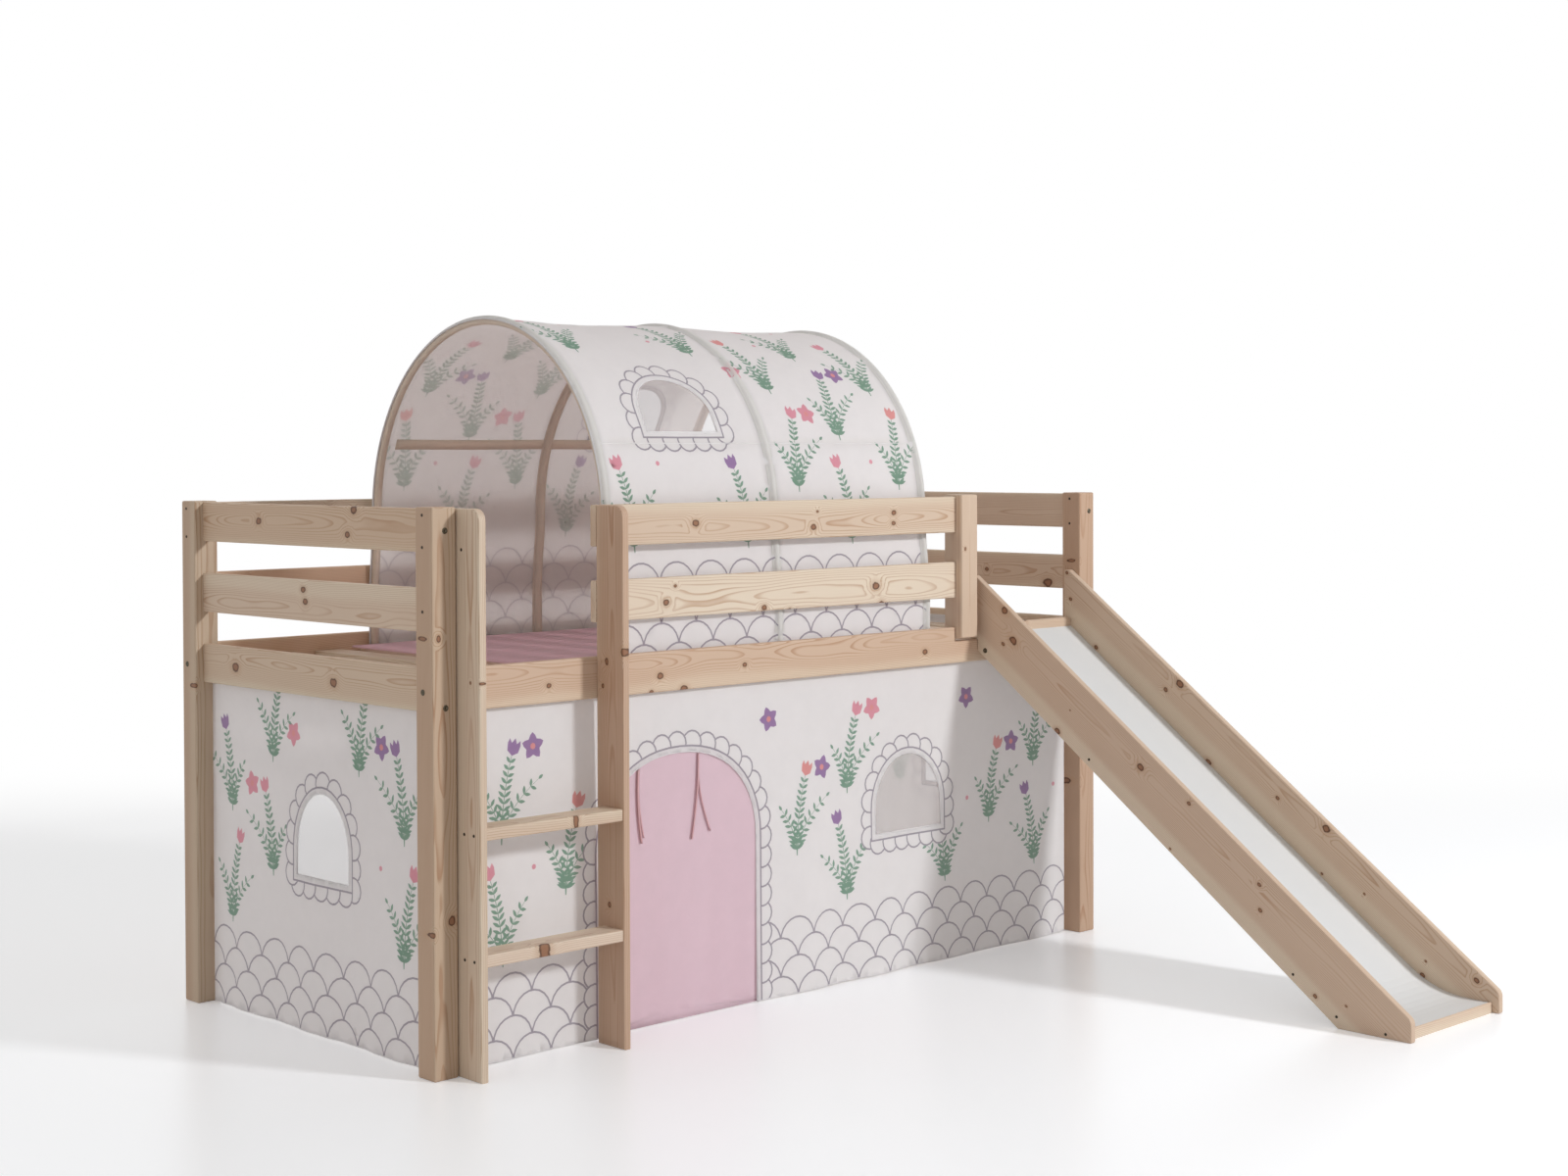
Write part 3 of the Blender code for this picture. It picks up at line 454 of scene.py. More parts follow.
# %% Note where the knots are
# Places of knots that show, as (first, second, radius): X and Z on faces to the front, Y and Z on
# faces to the side
FRONT_KNOTS = {
    "front_guard_upper": [(-0.331, 1.092, 0.009), (0.031, 1.074, 0.008), (0.044, 1.11, 0.004),
                          (0.3, 1.102, 0.007), (0.299, 1.077, 0.006)],
    "front_guard_lower": [(-0.417, 0.922, 0.008), (-0.391, 0.957, 0.004), (-0.125, 0.897, 0.007),
                          (-0.045, 0.888, 0.005), (0.238, 0.93, 0.011), (0.258, 0.887, 0.008)],
    "front_rail": [(-0.186, 0.772, 0.006), (-0.367, 0.731, 0.009), (-0.434, 0.764, 0.008),
                   (-0.46, 0.731, 0.005), (0.409, 0.764, 0.008), (-0.739, 0.765, 0.006)],
    "post_front_left": [(-1.025, 0.88, 0.006), (-0.997, 0.316, 0.009)],
    "ladder_stringer_left": [(-0.973, 0.792, 0.003)],
    "ladder_stringer_right": [(-0.61, 0.831, 0.008)],
    "ladder_rung_1": [(-0.818, 0.238, 0.012)],
    "ladder_rung_2": [(-0.736, 0.493, 0.006)],
    "guard_post": [(0.532, 1.009, 0.004)],
}
SIDE_KNOTS = {
    "end_board_left_3": [(0.788, 1.099, 0.009), (0.439, 1.078, 0.008), (0.414, 1.13, 0.01)],
    "end_board_left_2": [(0.61, 0.956, 0.008), (0.602, 0.931, 0.008)],
    "end_board_left_1": [(0.889, 0.772, 0.012), (0.495, 0.765, 0.011)],
    "post_front_left": [(0.114, 0.292, 0.005), (0.142, 0.879, 0.004)],
    "post_back_left": [(1.034, 0.722, 0.005)],
    "ladder_stringer_left": [(0.065, 0.792, 0.003)],
    "ladder_stringer_right": [(0.088, 0.809, 0.007), (0.082, 0.299, 0.006), (0.101, 0.757, 0.005)],
    "slide_board_left": [(0.033, 0.858, 0.009), (0.005, 0.785, 0.011), (0.038, 0.776, 0.005),
                         (-0.171, 0.63, 0.002), (-0.132, 0.577, 0.008), (-0.379, 0.514, 0.009),
                         (-0.516, 0.445, 0.005), (-0.464, 0.335, 0.003), (-0.706, 0.285, 0.005),
                         (-0.709, 0.228, 0.005), (-0.938, 0.163, 0.005), (-0.851, 0.061, 0.005),
                         (-0.928, 0.053, 0.003)],
    "slide_board_right": [(0.135, 0.933, 0.005), (0.123, 0.865, 0.005), (0.129, 0.812, 0.003),
                          (0.039, 0.745, 0.006), (-0.223, 0.67, 0.010), (-0.179, 0.653, 0.006),
                          (-0.308, 0.484, 0.008), (-0.508, 0.417, 0.005), (-0.643, 0.359, 0.010),
                          (-0.631, 0.252, 0.003), (-0.745, 0.22, 0.003), (-0.904, 0.089, 0.003),
                          (-0.896, 0.056, 0.006), (-1.03, 0.066, 0.007)],
    "end_board_right_2": [(0.441, 0.93, 0.006), (0.23, 0.902, 0.013)],
    "post_front_right": [(0.136, 0.964, 0.004), (0.159, 0.391, 0.007)],
}
knot_count = sum(len(row) for table in (FRONT_KNOTS, SIDE_KNOTS) for row in table.values())
print("knots in their places:", knot_count)

# %% Note how each board is cut and toned
X, Y, Z = Vector((1, 0, 0)), Vector((0, 1, 0)), Vector((0, 0, 1))
DOWN_SLIDE = Vector((0, math.cos(SLOPE_ANGLE), math.sin(SLOPE_ANGLE)))
ACROSS_SLIDE = Vector((0, -math.sin(SLOPE_ANGLE), math.cos(SLOPE_ANGLE)))
# The way of the grain, across it and through the board, for names that start alike
GRAIN = (
    ("post_", Z, X, Y), ("guard_post", Z, X, Y), ("end_board_", Y, Z, X), ("front_", X, Z, Y),
    ("back_", X, Z, Y), ("slat_bearer", X, Z, Y), ("slat_", Y, X, Z), ("ladder_stringer", Z, Y, X),
    ("ladder_rung", X, Y, Z), ("slide_board", DOWN_SLIDE, ACROSS_SLIDE, X), ("slide_", X, Y, Z),
)
STRAIGHT_GRAIN = 0.25
PLAIN_GRAIN = 0.6
# Tone and share of heart wood of boards that differ from the plain ones, on some as painted light or
# shade
PLAIN_LOOK = ((1, 1, 1), 0.4)
TONES_AND_PAINTED_LIGHT = {
    "post_front_right": ((0.85, 0.78, 0.73), 0.9),
    "end_board_left_1": ((0.97, 0.98, 0.96), 0.6),
    "end_board_left_3": ((0.95, 0.92, 0.87), 0.6),
    # Darker, partly as painted shade from the ladder's stringer in front of this post
    "post_front_left": ((0.81, 0.745, 0.69), 0.6),
    "post_back_left": ((0.81, 0.765, 0.72), 0.6),
    "ladder_stringer_right": ((0.88, 0.80, 0.76), 0.6),
    "slide_board_left": ((0.97, 0.98, 0.98), 0.8),
    "slide_board_right": ((0.97, 0.98, 0.98), 0.6),
    "front_rail": ((0.98, 0.93, 0.90), 0.6),
    # Painted light: the back rail and the lower back guard are lighter, for light bounced inside the
    # bed
    "back_rail": ((1.16, 1.09, 1.03), 0.8),
    "back_guard_lower": ((1.16, 1.09, 1.03), 0.8),
    "front_guard_lower": ((1.05, 1.06, 1.08), 0.3),
    "ladder_rung_1": ((1.10, 1.13, 1.18), 0.3),
}
print("boards with a tone of their own:", len(TONES_AND_PAINTED_LIGHT))

# %% Give every wooden piece its own board
SCATTERED_PER_METRE = 1.8
SCATTERED_WITHIN = (0.08, 0.92)
SCATTERED_RADII = (0.004, 0.01)


def scattered_knots(name, direction, draw):
    """A few knots for a board whose own ones are not seen."""
    low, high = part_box(name)
    size = high - low
    count = round(abs(size.dot(direction)) * SCATTERED_PER_METRE)
    return [(low + Vector([draw.uniform(*SCATTERED_WITHIN) * size[axis] for axis in range(3)]),
             draw.uniform(*SCATTERED_RADII)) for _ in range(count)]


def visible_knots(name):
    """Knots at their measured places, on the front face or on the side that is seen."""
    low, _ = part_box(name)
    found = [(Vector((x, low.y, z)), radius) for x, z, radius in FRONT_KNOTS.get(name, ())]
    return found + [(Vector((low.x, y, z)), radius) for y, z, radius in SIDE_KNOTS.get(name, ())]


def dress_boards():
    """Put pine on every wooden node and give back how many there are."""
    dressed = 0
    for seed, name in enumerate(sorted(nodes)):
        grain = next((row[1:] for row in GRAIN if name.startswith(row[0])), None)
        if grain is None or name == "slide_panel":
            continue
        knots = visible_knots(name) or scattered_knots(name, grain[0], random.Random(seed))
        tone, heart = TONES_AND_PAINTED_LIGHT.get(name, PLAIN_LOOK)
        upright = name.startswith(("post_", "ladder_stringer", "guard_post", "slide_board"))
        wavy = STRAIGHT_GRAIN if upright else PLAIN_GRAIN
        finish = pine(name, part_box(name), grain, knots, seed, tone, heart, wavy)
        nodes[name].material_slots[0].material = finish
        dressed += 1
    return dressed


print("boards dressed in pine:", dress_boards())

# %% [markdown]
# ## The sliding panel
#
# The slide is a smooth white sheet, a hard laminate with a soft gloss. A mirror-like finish would
# show a sharp room in it, so the roughness is kept at a mild value and varies a little, as on a
# surface that has been wiped and slid on.

# %% Finish the sliding panel and the hoops
def plain_finish(name, colour, roughness, specular, unevenness=0.1, metallic=0.0):
    """Even finish whose roughness varies slightly over the surface."""
    finish, tree, shader = new_finish(name, roughness, specular)
    shader.inputs["Metallic"].default_value = metallic
    clouds = soft_noise(tree, object_place(tree), scale=6.0, detail=3.0, roughness=0.6)
    paler = tuple(min(1, part * 1.04) for part in colour)
    tree.links.new(blend_colours(tree, clouds, colour, paler), shader.inputs["Base Color"])
    rough = calc(tree, "MULTIPLY_ADD", clouds, unevenness, roughness - unevenness / 2)
    tree.links.new(rough, shader.inputs["Roughness"])
    return finish


panel_finish = plain_finish("panel_laminate", (0.74, 0.74, 0.735), 0.26, 0.5, 0.03)
hoop_finish = plain_finish("hoop_plastic", (0.72, 0.68, 0.64), 0.45, 0.4)
bolt_finish = plain_finish("bolt_steel", (0.10, 0.085, 0.06), 0.38, 0.5, 0.1, 1.0)
screw_finish = plain_finish("screw_steel", (0.05, 0.04, 0.03), 0.5, 0.4, 0.1, 0.8)
nodes["slide_panel"].material_slots[0].material = panel_finish
for number in (1, 2, 3):
    nodes[f"tunnel_hoop_{number}"].material_slots[0].material = hoop_finish
print("panel and hoops are finished")

# %% [markdown]
# ## Cloth finishes
#
# The curtains are plain-woven cotton. Threads that cross are too fine to model, so the weave is a
# relief of two crossing waves, laid out on the flat pattern so that it follows the cloth round the
# tunnel. Each printed colour has a paler partner for the wrong side, where the dye shows through,
# and the wrong side is warmed a little as painted light, for the warm light of the wood inside.

# %% Name the colours of the cloth
CLOTH_WHITE = (0.962, 0.942, 0.940)
# Painted warm light: the wrong side is warmer than the cloth, for the light thrown by the wood inside
WRONG_SIDE_WITH_PAINTED_WARMTH = (0.962, 0.925, 0.895)
PRINT_COLOURS = {
    "ground": CLOTH_WHITE,
    "line": (0.370, 0.330, 0.395),
    "leaf": (0.170, 0.360, 0.250),
    "pink": (0.830, 0.330, 0.420),
    "coral": (0.850, 0.330, 0.320),
    "purple": (0.350, 0.190, 0.440),
}
SHOWS_THROUGH = 0.20


def through_colour(colour):
    """The colour as it shows on the wrong side of the white cloth."""
    share = 0 if colour == CLOTH_WHITE else SHOWS_THROUGH
    return tuple(share * part + (1 - share) * ground for part, ground in zip(colour, WRONG_SIDE_WITH_PAINTED_WARMTH))


print("green on the wrong side:", through_colour(PRINT_COLOURS["leaf"]))

# %% Make the cloth finishes
THREAD_PITCH = 0.0012
COARSE_PITCH = 0.002
SHEER_PITCH = 0.0018
LETS_THROUGH = 0.46
INK_LETS_THROUGH = 0.5
CREASE_SHARE = 14.0
SHEEN = 0.15


def cloth_finish(name, colour, alpha=1.0, thread=THREAD_PITCH):
    """Plain weave with a slight mottle, which lets some light through."""
    finish, tree, shader = new_finish("cloth_" + name, roughness=0.85, specular=0.2)
    shader.inputs["Sheen Weight"].default_value = SHEEN
    shader.inputs["Alpha"].default_value = alpha
    parts = tree.nodes.new("ShaderNodeSeparateXYZ")
    tree.links.new(tree.nodes.new("ShaderNodeTexCoord").outputs["UV"], parts.inputs[0])
    turn = 2 * math.pi / thread
    waves = [calc(tree, "SINE", calc(tree, "MULTIPLY", parts.outputs[place], turn))
             for place in (0, 1)]
    mottle = soft_noise(tree, object_place(tree), scale=26.0, detail=4.0, roughness=0.65)
    dyed = blend_colours(tree, mottle, colour, tuple(part * 0.93 for part in colour))
    tree.links.new(dyed, shader.inputs["Base Color"])
    creases = soft_noise(tree, object_place(tree), scale=7.0, detail=2.0, roughness=0.5)
    relief = calc(tree, "MULTIPLY_ADD", calc(tree, "MULTIPLY", *waves), 0.35, mottle)
    relief = calc(tree, "MULTIPLY_ADD", creases, CREASE_SHARE, relief)
    bump(tree, shader, relief, strength=0.3, distance=0.0006)
    if alpha == 1:
        paler = dyed
        if name.startswith("print"):
            paler = blend_colours(tree, INK_LETS_THROUGH, dyed, CLOTH_WHITE)
        through = step(tree, "BsdfTranslucent", paler)
        both = step(tree, "MixShader", LETS_THROUGH, shader.outputs[0], through)
        tree.links.new(both, tree.nodes["Material Output"].inputs["Surface"])
    return finish


print_finishes = []
for dye, colour in PRINT_COLOURS.items():
    print_finishes.append(cloth_finish("print_" + dye, colour))
    print_finishes.append(cloth_finish("print_" + dye + "_back", through_colour(colour)))
white_cloth = print_finishes[0]
pink_cloth = cloth_finish("door", (0.925, 0.765, 0.815))
mat_cloth = cloth_finish("mat", (0.900, 0.670, 0.720))
tape_cloth = cloth_finish("tape", (0.980, 0.880, 0.780), thread=COARSE_PITCH)
band_cloth = cloth_finish("band", (0.935, 0.915, 0.885), thread=COARSE_PITCH)
ribbon_cloth = cloth_finish("ribbon", (0.970, 0.680, 0.700))
sheer_cloth = cloth_finish("sheer", (0.740, 0.690, 0.685), alpha=0.27, thread=SHEER_PITCH)
print("cloth finishes:", len(print_finishes) + 6)

# %% [markdown]
# ## Cutting a cloth
#
# Printed cloth could be one plane with a painted picture on it, but then the print has a
# resolution, and it is not part of the shape. Here the outline, the windows and every leaf are
# drawn as loops on the flat cloth, one triangulation cuts them all into the sheet, and each
# triangle takes the colour of the topmost loop that it lies in. Only then is the sheet bent into
# place.

# %% Helpers for any new piece
WELD_DISTANCE = 1e-5


def link_mesh(name, points, faces, *finishes):
    """New smooth mesh object with its finishes."""
    mesh = bpy.data.meshes.new(name)
    mesh.from_pydata([tuple(point) for point in points], [], faces)
    for finish in finishes:
        mesh.materials.append(finish)
    mesh.shade_smooth()
    made = bpy.data.objects.new(name, mesh)
    bpy.context.scene.collection.objects.link(made)
    return made


def thicken(piece, thickness):
    """Give a sheet its thickness, half of it to each side."""
    body = piece.modifiers.new("thickness", "SOLIDIFY")
    body.thickness = thickness
    body.offset = 0
    return body


def weld(piece):
    """Join points that lie on each other."""
    piece.modifiers.new("weld", "WELD").merge_threshold = WELD_DISTANCE


def lay_cut(piece, spots):
    """Keep the place of every point on the flat cloth, for the weave."""
    cut = piece.data.uv_layers.new(name="cut")
    for loop in piece.data.loops:
        cut.data[loop.index].uv = spots[loop.vertex_index]


def net_faces(columns, rows):
    """Faces between points that were laid row by row."""
    starts = [row * (columns + 1) + column for row in range(rows) for column in range(columns)]
    return [(here, here + 1, here + columns + 2, here + columns + 1) for here in starts]


def attach(pieces, body):
    """Let new pieces ride on a body."""
    for piece in pieces:
        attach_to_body(piece, body)


print("a net of 2 by 3 has", len(net_faces(2, 3)), "faces")

# %% Measure loops on the flat cloth
def twice_area(loop):
    """Twice the area inside a loop, above zero when the loop turns to the left."""
    return sum(loop[index - 1][0] * loop[index][1] - loop[index][0] * loop[index - 1][1]
               for index in range(len(loop)))


def loop_area(loop):
    """Area inside a loop."""
    return abs(twice_area(loop)) / 2


def loop_size(loop):
    """Width and height of a loop."""
    return tuple(max(point[axis] for point in loop) - min(point[axis] for point in loop)
                 for axis in (0, 1))


print("a loop of 2 by 3 measures", loop_area([(0, 0), (2, 0), (2, 3), (0, 3)]))

# %% Lay out a flat cloth
CUT_TOLERANCE = 1e-6


def net_points(outline, pitch, folds):
    """Points inside an outline, in rows and columns, with a column at each fold."""
    low = [min(point[axis] for point in outline) for axis in (0, 1)]
    high = [max(point[axis] for point in outline) for axis in (0, 1)]
    counts = [max(2, round((high[axis] - low[axis]) / pitch[axis])) for axis in (0, 1)]
    columns = [low[0] + (high[0] - low[0]) * column / counts[0] for column in range(1, counts[0])]
    columns = [u for u in columns if all(abs(u - fold) > pitch[0] / 3 for fold in folds)]
    return [Vector((u, low[1] + (high[1] - low[1]) * row / counts[1]))
            for u in columns + list(folds) for row in range(1, counts[1])]


def lay_out(outline, holes, prints, pitch, folds=()):
    """Triangulate a flat cloth. Gives points, faces and each face's ink.

    Folds are places across the cloth that get columns of points of their own.
    """
    loops = [outline] + [loop for _, loop in prints] + holes
    flat, rings = [], []
    for loop in loops:
        rings.append(tuple(range(len(flat), len(flat) + len(loop))))
        flat += [Vector(point) for point in (loop if twice_area(loop) > 0 else loop[::-1])]
    flat += net_points(outline, pitch, folds)
    points, _, faces, _, _, owners = delaunay_2d_cdt(flat, [], rings, 0, CUT_TOLERANCE)
    first_hole = 1 + len(prints)
    kept, inks = [], []
    for face, inside in zip(faces, owners):
        if 0 in inside and max(inside) < first_hole:
            top = max(inside)
            kept.append(tuple(face))
            inks.append(prints[top - 1][0] if top else 0)
    # Parts of a print outside the cloth leave loose points, which are dropped
    used = sorted({index for face in kept for index in face})
    number = {index: place for place, index in enumerate(used)}
    kept = [tuple(number[index] for index in face) for face in kept]
    return [points[index] for index in used], kept, inks


square_cloth = [(0, 0), (1, 0), (1, 1), (0, 1)]
print("a square cloth is cut into", len(lay_out(square_cloth, [], [], (0.25, 0.25))[1]), "faces")

# %% Sew a sheet and its trims
def sew_sheet(name, outline, holes, prints, pitch, place, outward, thickness, finishes, folds=()):
    """Cut a flat cloth, put each point in place, and give the sheet its thickness."""
    flat, faces, inks = lay_out(outline, holes, prints, pitch, folds)
    points = [place(*point) for point in flat]
    a, b, c = (Vector(points[index]) for index in faces[len(faces) // 2])
    if (b - a).cross(c - a).dot(outward((a + b + c) / 3)) < 0:
        faces = [face[::-1] for face in faces]
    sheet = link_mesh(name, points, faces, *finishes)
    mesh = sheet.data
    pairs = len(finishes) > 1
    mesh.polygons.foreach_set("material_index", [2 * ink if pairs else 0 for ink in inks])
    cut = mesh.uv_layers.new(name="cut")
    corners = np.zeros(len(mesh.loops), np.int32)
    mesh.loops.foreach_get("vertex_index", corners)
    spots = np.array([tuple(point) for point in flat], np.float32)[corners]
    cut.data.foreach_set("uv", spots.ravel())
    body = thicken(sheet, thickness)
    body.material_offset = 1 if pairs else 0
    body.material_offset_rim = 0
    return sheet


def tube(name, points, radius, finish, closed=False, sides=8):
    """Round cord along a line of points."""
    line = [Vector(point) for point in points]
    count = len(line)
    corners, faces, side = [], [], None
    for index, point in enumerate(line):
        ahead = line[(index + 1) % count] if closed or index < count - 1 else point
        behind = line[index - 1] if closed or index else point
        heading = (ahead - behind).normalized()
        if side is None:
            side = heading.orthogonal().normalized()
        side = (side - heading * side.dot(heading)).normalized()
        over = heading.cross(side)
        for turn in range(sides):
            angle = 2 * math.pi * turn / sides
            corners.append(point + radius * (math.cos(angle) * side + math.sin(angle) * over))
    for index in range(count if closed else count - 1):
        here, there = index * sides, (index + 1) % count * sides
        for turn in range(sides):
            onward = (turn + 1) % sides
            faces.append((here + turn, here + onward, there + onward, there + turn))
    if not closed:
        faces += [tuple(range(sides))[::-1], tuple(range((count - 1) * sides, count * sides))]
    return link_mesh(name, corners, faces, finish)


print("sheets and cords can be sewn")

# %% [markdown]
# ## The printed pattern
#
# The real cloth has a line-drawn border near the floor and green plants with small flowers above
# it. The pattern here is a plain garden print of the same colours and scale: rows of round hills
# along the hem, leafy plants with tulips in a half-drop repeat, small daisies and dots between
# them, and a row of petals round each opening. A half-drop repeat, where every other column sits
# half a step lower, is how a textile printer avoids visible rows. Motifs strewn at random would run
# into each other and into the windows.

# %% Draw leaves and flowers
LEAF_LENGTH = 0.024
LEAF_WIDTH = 0.0074
TULIP_SIZE = 0.034
DAISY_SIZE = 0.029
# Width of a petal and radius of the heart, as shares of a daisy's size
DAISY_PETAL, DAISY_HEART = 0.72, 0.24
DOT_RADIUS = 0.0055
LEAF_HALF = [(0, 0), (0.22, 0.36), (0.5, 0.5), (0.8, 0.3), (1, 0)]
TULIP_HALF = [(0, 0), (0.25, 0.42), (0.7, 0.5), (1.0, 0.42), (0.75, 0.2), (1.08, 0)]


def spin(point, angle, centre):
    """Point turned about the origin and moved to a centre."""
    cosine, sine = math.cos(angle), math.sin(angle)
    return (centre[0] + point[0] * cosine - point[1] * sine,
            centre[1] + point[0] * sine + point[1] * cosine)


def disc(centre, radius, count=12):
    """Round loop."""
    return [(centre[0] + radius * math.cos(2 * math.pi * index / count),
             centre[1] + radius * math.sin(2 * math.pi * index / count)) for index in range(count)]


def mirrored(half, length, width, base, angle):
    """Loop of a half shape and its mirror image, which grows from a base."""
    shape = half + [(reach, -side) for reach, side in half[-2:0:-1]]
    return [spin((reach * length, side * width), angle, base) for reach, side in shape]


def leaf(base, angle, length=LEAF_LENGTH, width=LEAF_WIDTH):
    """Pointed leaf that grows from its base."""
    return mirrored(LEAF_HALF, length, width, base, angle)


def daisy(centre, size, ink, heart, draw):
    """Five round petals and a heart."""
    start = draw.uniform(0, math.pi)
    petals = [(ink, leaf(centre, start + 2 * math.pi * petal / 5, size, size * DAISY_PETAL))
              for petal in range(5)]
    return petals + [(heart, disc(centre, size * DAISY_HEART, 8))]


print("points of a leaf:", len(leaf((0, 0), 0)))

# %% Draw a plant
INK = {dye: place for place, dye in enumerate(PRINT_COLOURS)}
SPRIG_HEIGHT = 0.180
NODE_PITCH = 0.0135
STEM_WIDTH = 0.0024
LEAF_ANGLE = 0.95
LEAF_SPREAD = 0.15
LEAF_AT_FOOT, LEAF_SHRINKS = 1.1, 0.45
TIP_LEAF = 0.6
# Height, as a share of the whole, and lean of the two short sprigs of a plant
SIDE_SPRIGS = ((0.70, 0.62), (0.60, -0.58))


def sprig(base, height, lean, flower, draw):
    """Bent stem with pairs of leaves, and a tulip at its tip where an ink is named."""
    count = max(5, round(height / NODE_PITCH))
    line = [(base[0] + lean * height * (index / count) ** 2, base[1] + height * (index / count))
            for index in range(count + 1)]
    left, right = [], []
    for index, point in enumerate(line):
        width = STEM_WIDTH * (1 - 0.5 * index / count) / 2
        left.append((point[0] - width, point[1]))
        right.append((point[0] + width, point[1]))
    shapes = [(INK["leaf"], left + right[::-1])]
    for index in range(1, count):
        before, after = line[index - 1], line[index + 1]
        heading = math.atan2(after[1] - before[1], after[0] - before[0])
        size = LEAF_LENGTH * (LEAF_AT_FOOT - LEAF_SHRINKS * index / count)
        for side in (-1, 1):
            angle = heading + side * (LEAF_ANGLE + draw.uniform(-LEAF_SPREAD, LEAF_SPREAD))
            shapes.append((INK["leaf"], leaf(line[index], angle, size)))
    tip = line[-1]
    heading = math.atan2(tip[1] - line[-2][1], tip[0] - line[-2][0])
    if flower is None:
        return shapes + [(INK["leaf"], leaf(tip, heading, TIP_LEAF * LEAF_LENGTH))]
    return shapes + [(INK[flower], mirrored(TULIP_HALF, TULIP_SIZE, TULIP_SIZE, tip, heading))]


def plant(base, lean, flower, draw):
    """Three sprigs from one foot: two short leafy ones and a tall one with a flower."""
    shapes = []
    for share, turn in SIDE_SPRIGS:
        shapes += sprig(base, share * SPRIG_HEIGHT, lean + turn, None, draw)
    return shapes + sprig(base, SPRIG_HEIGHT, lean, flower, draw)


print("a plant has", len(plant((0, 0), 0.2, "pink", random.Random(1))), "printed shapes")

# %% Draw hills and arches
LINE_WIDTH = 0.0040
HILL_RADIUS = 0.052
HILL_RISE = 0.044
HILL_SIDES = 22


def ringed(shape):
    """Outline and fill of a shape that is given by a function of how much wider it is."""
    return [(INK["line"], shape(LINE_WIDTH / 2)), (INK["ground"], shape(-LINE_WIDTH / 2))]


def hills(length, floor, rows):
    """Rows of round outlines along a hem, each row in front of the one above it."""
    across = max(1, round(length / (2 * HILL_RADIUS)))
    pitch = length / across
    shapes = []
    for row in range(rows - 1, -1, -1):
        shift = pitch / 2 if row % 2 else 0
        for index in range(across + 1):
            centre = (index * pitch + shift, floor + row * HILL_RISE)
            shapes += ringed(lambda wider: disc(centre, pitch / 2 + wider, HILL_SIDES))
    return shapes


def arched_loop(width, spring, rise, fullness, steps=20):
    """Loop of an opening with upright sides and a full arch, which stands centred on zero."""
    loop = [(-width / 2, 0), (width / 2, 0)]
    for index in range(steps + 1):
        angle = math.pi * index / steps
        across, up = math.cos(angle), math.sin(angle)
        share = 2 / fullness
        loop.append((width / 2 * math.copysign(abs(across) ** share, across),
                     spring + rise * abs(up) ** share))
    return loop


print("a hem of one metre has", len(hills(1, 0, 1)), "printed shapes a row")

# %% Frame the openings
PETAL_GAP = 0.013
PETAL_RADIUS = 0.027
PETAL_SIDES = 16
# How far the row of petals runs from the opening, and the step from one petal to the next
PETAL_ROW = PETAL_GAP + 0.006
PETAL_STEP = 1.62 * PETAL_RADIUS


def grown(loop, gap):
    """The loop moved outwards by a gap."""
    count = len(loop)
    sign = 1 if twice_area(loop) > 0 else -1
    out = []
    for index, point in enumerate(loop):
        normals = []
        for start, end in ((loop[index - 1], point), (point, loop[(index + 1) % count])):
            edge = Vector((end[0] - start[0], end[1] - start[1]))
            if edge.length > CUT_TOLERANCE:
                edge.normalize()
                normals.append(Vector((edge.y, -edge.x)) * sign)
        mean = sum(normals, Vector((0, 0)))
        mean.normalize()
        spread = max(0.5, mean.dot(normals[0]))
        out.append((point[0] + mean.x * gap / spread, point[1] + mean.y * gap / spread))
    return out


def frame_print(loop):
    """Row of round petals round an opening, with a line on its inner side."""
    path = grown(loop, PETAL_ROW)
    lengths = [math.dist(path[index - 1], path[index]) for index in range(len(path))]
    count = round(sum(lengths) / PETAL_STEP)
    shapes = []
    for number in range(count):
        left = sum(lengths) * (number + 0.5) / count
        for index, length in enumerate(lengths):
            if left <= length:
                break
            left -= length
        share = left / length
        centre = [a + (b - a) * share for a, b in zip(path[index - 1], path[index])]
        shapes += ringed(lambda wider: disc(centre, PETAL_RADIUS + wider, PETAL_SIDES))
    return shapes + ringed(lambda wider: grown(loop, PETAL_GAP + wider))


small_arch = arched_loop(0.2, 0.06, 0.12, 2)
print("a small arch is framed by", len(frame_print(small_arch)), "printed shapes")

# %% Lay out the garden
PLANT_PITCH = (0.168, 0.250)
PLANT_LEAN = 0.16
FLOWERS = ("pink", "coral", "purple", "pink")
# How high a daisy or dot sits in its step of the repeat
BETWEEN = 0.78
# Room that plants and daisies keep to openings, and to the top and the sides of the cloth
PLANT_ROOM, DAISY_ROOM = 0.060, 0.045
TIP_ROOM, TOP_ROOM, SIDE_ROOM = 0.03, 0.02, 0.03


def clear_of(openings, u, v, reach):
    """Whether a place keeps clear of all the openings."""
    return all(math.hypot((u - centre[0]) / (half[0] + reach),
                          (v - centre[1]) / (half[1] + reach)) > 1 for centre, half in openings)


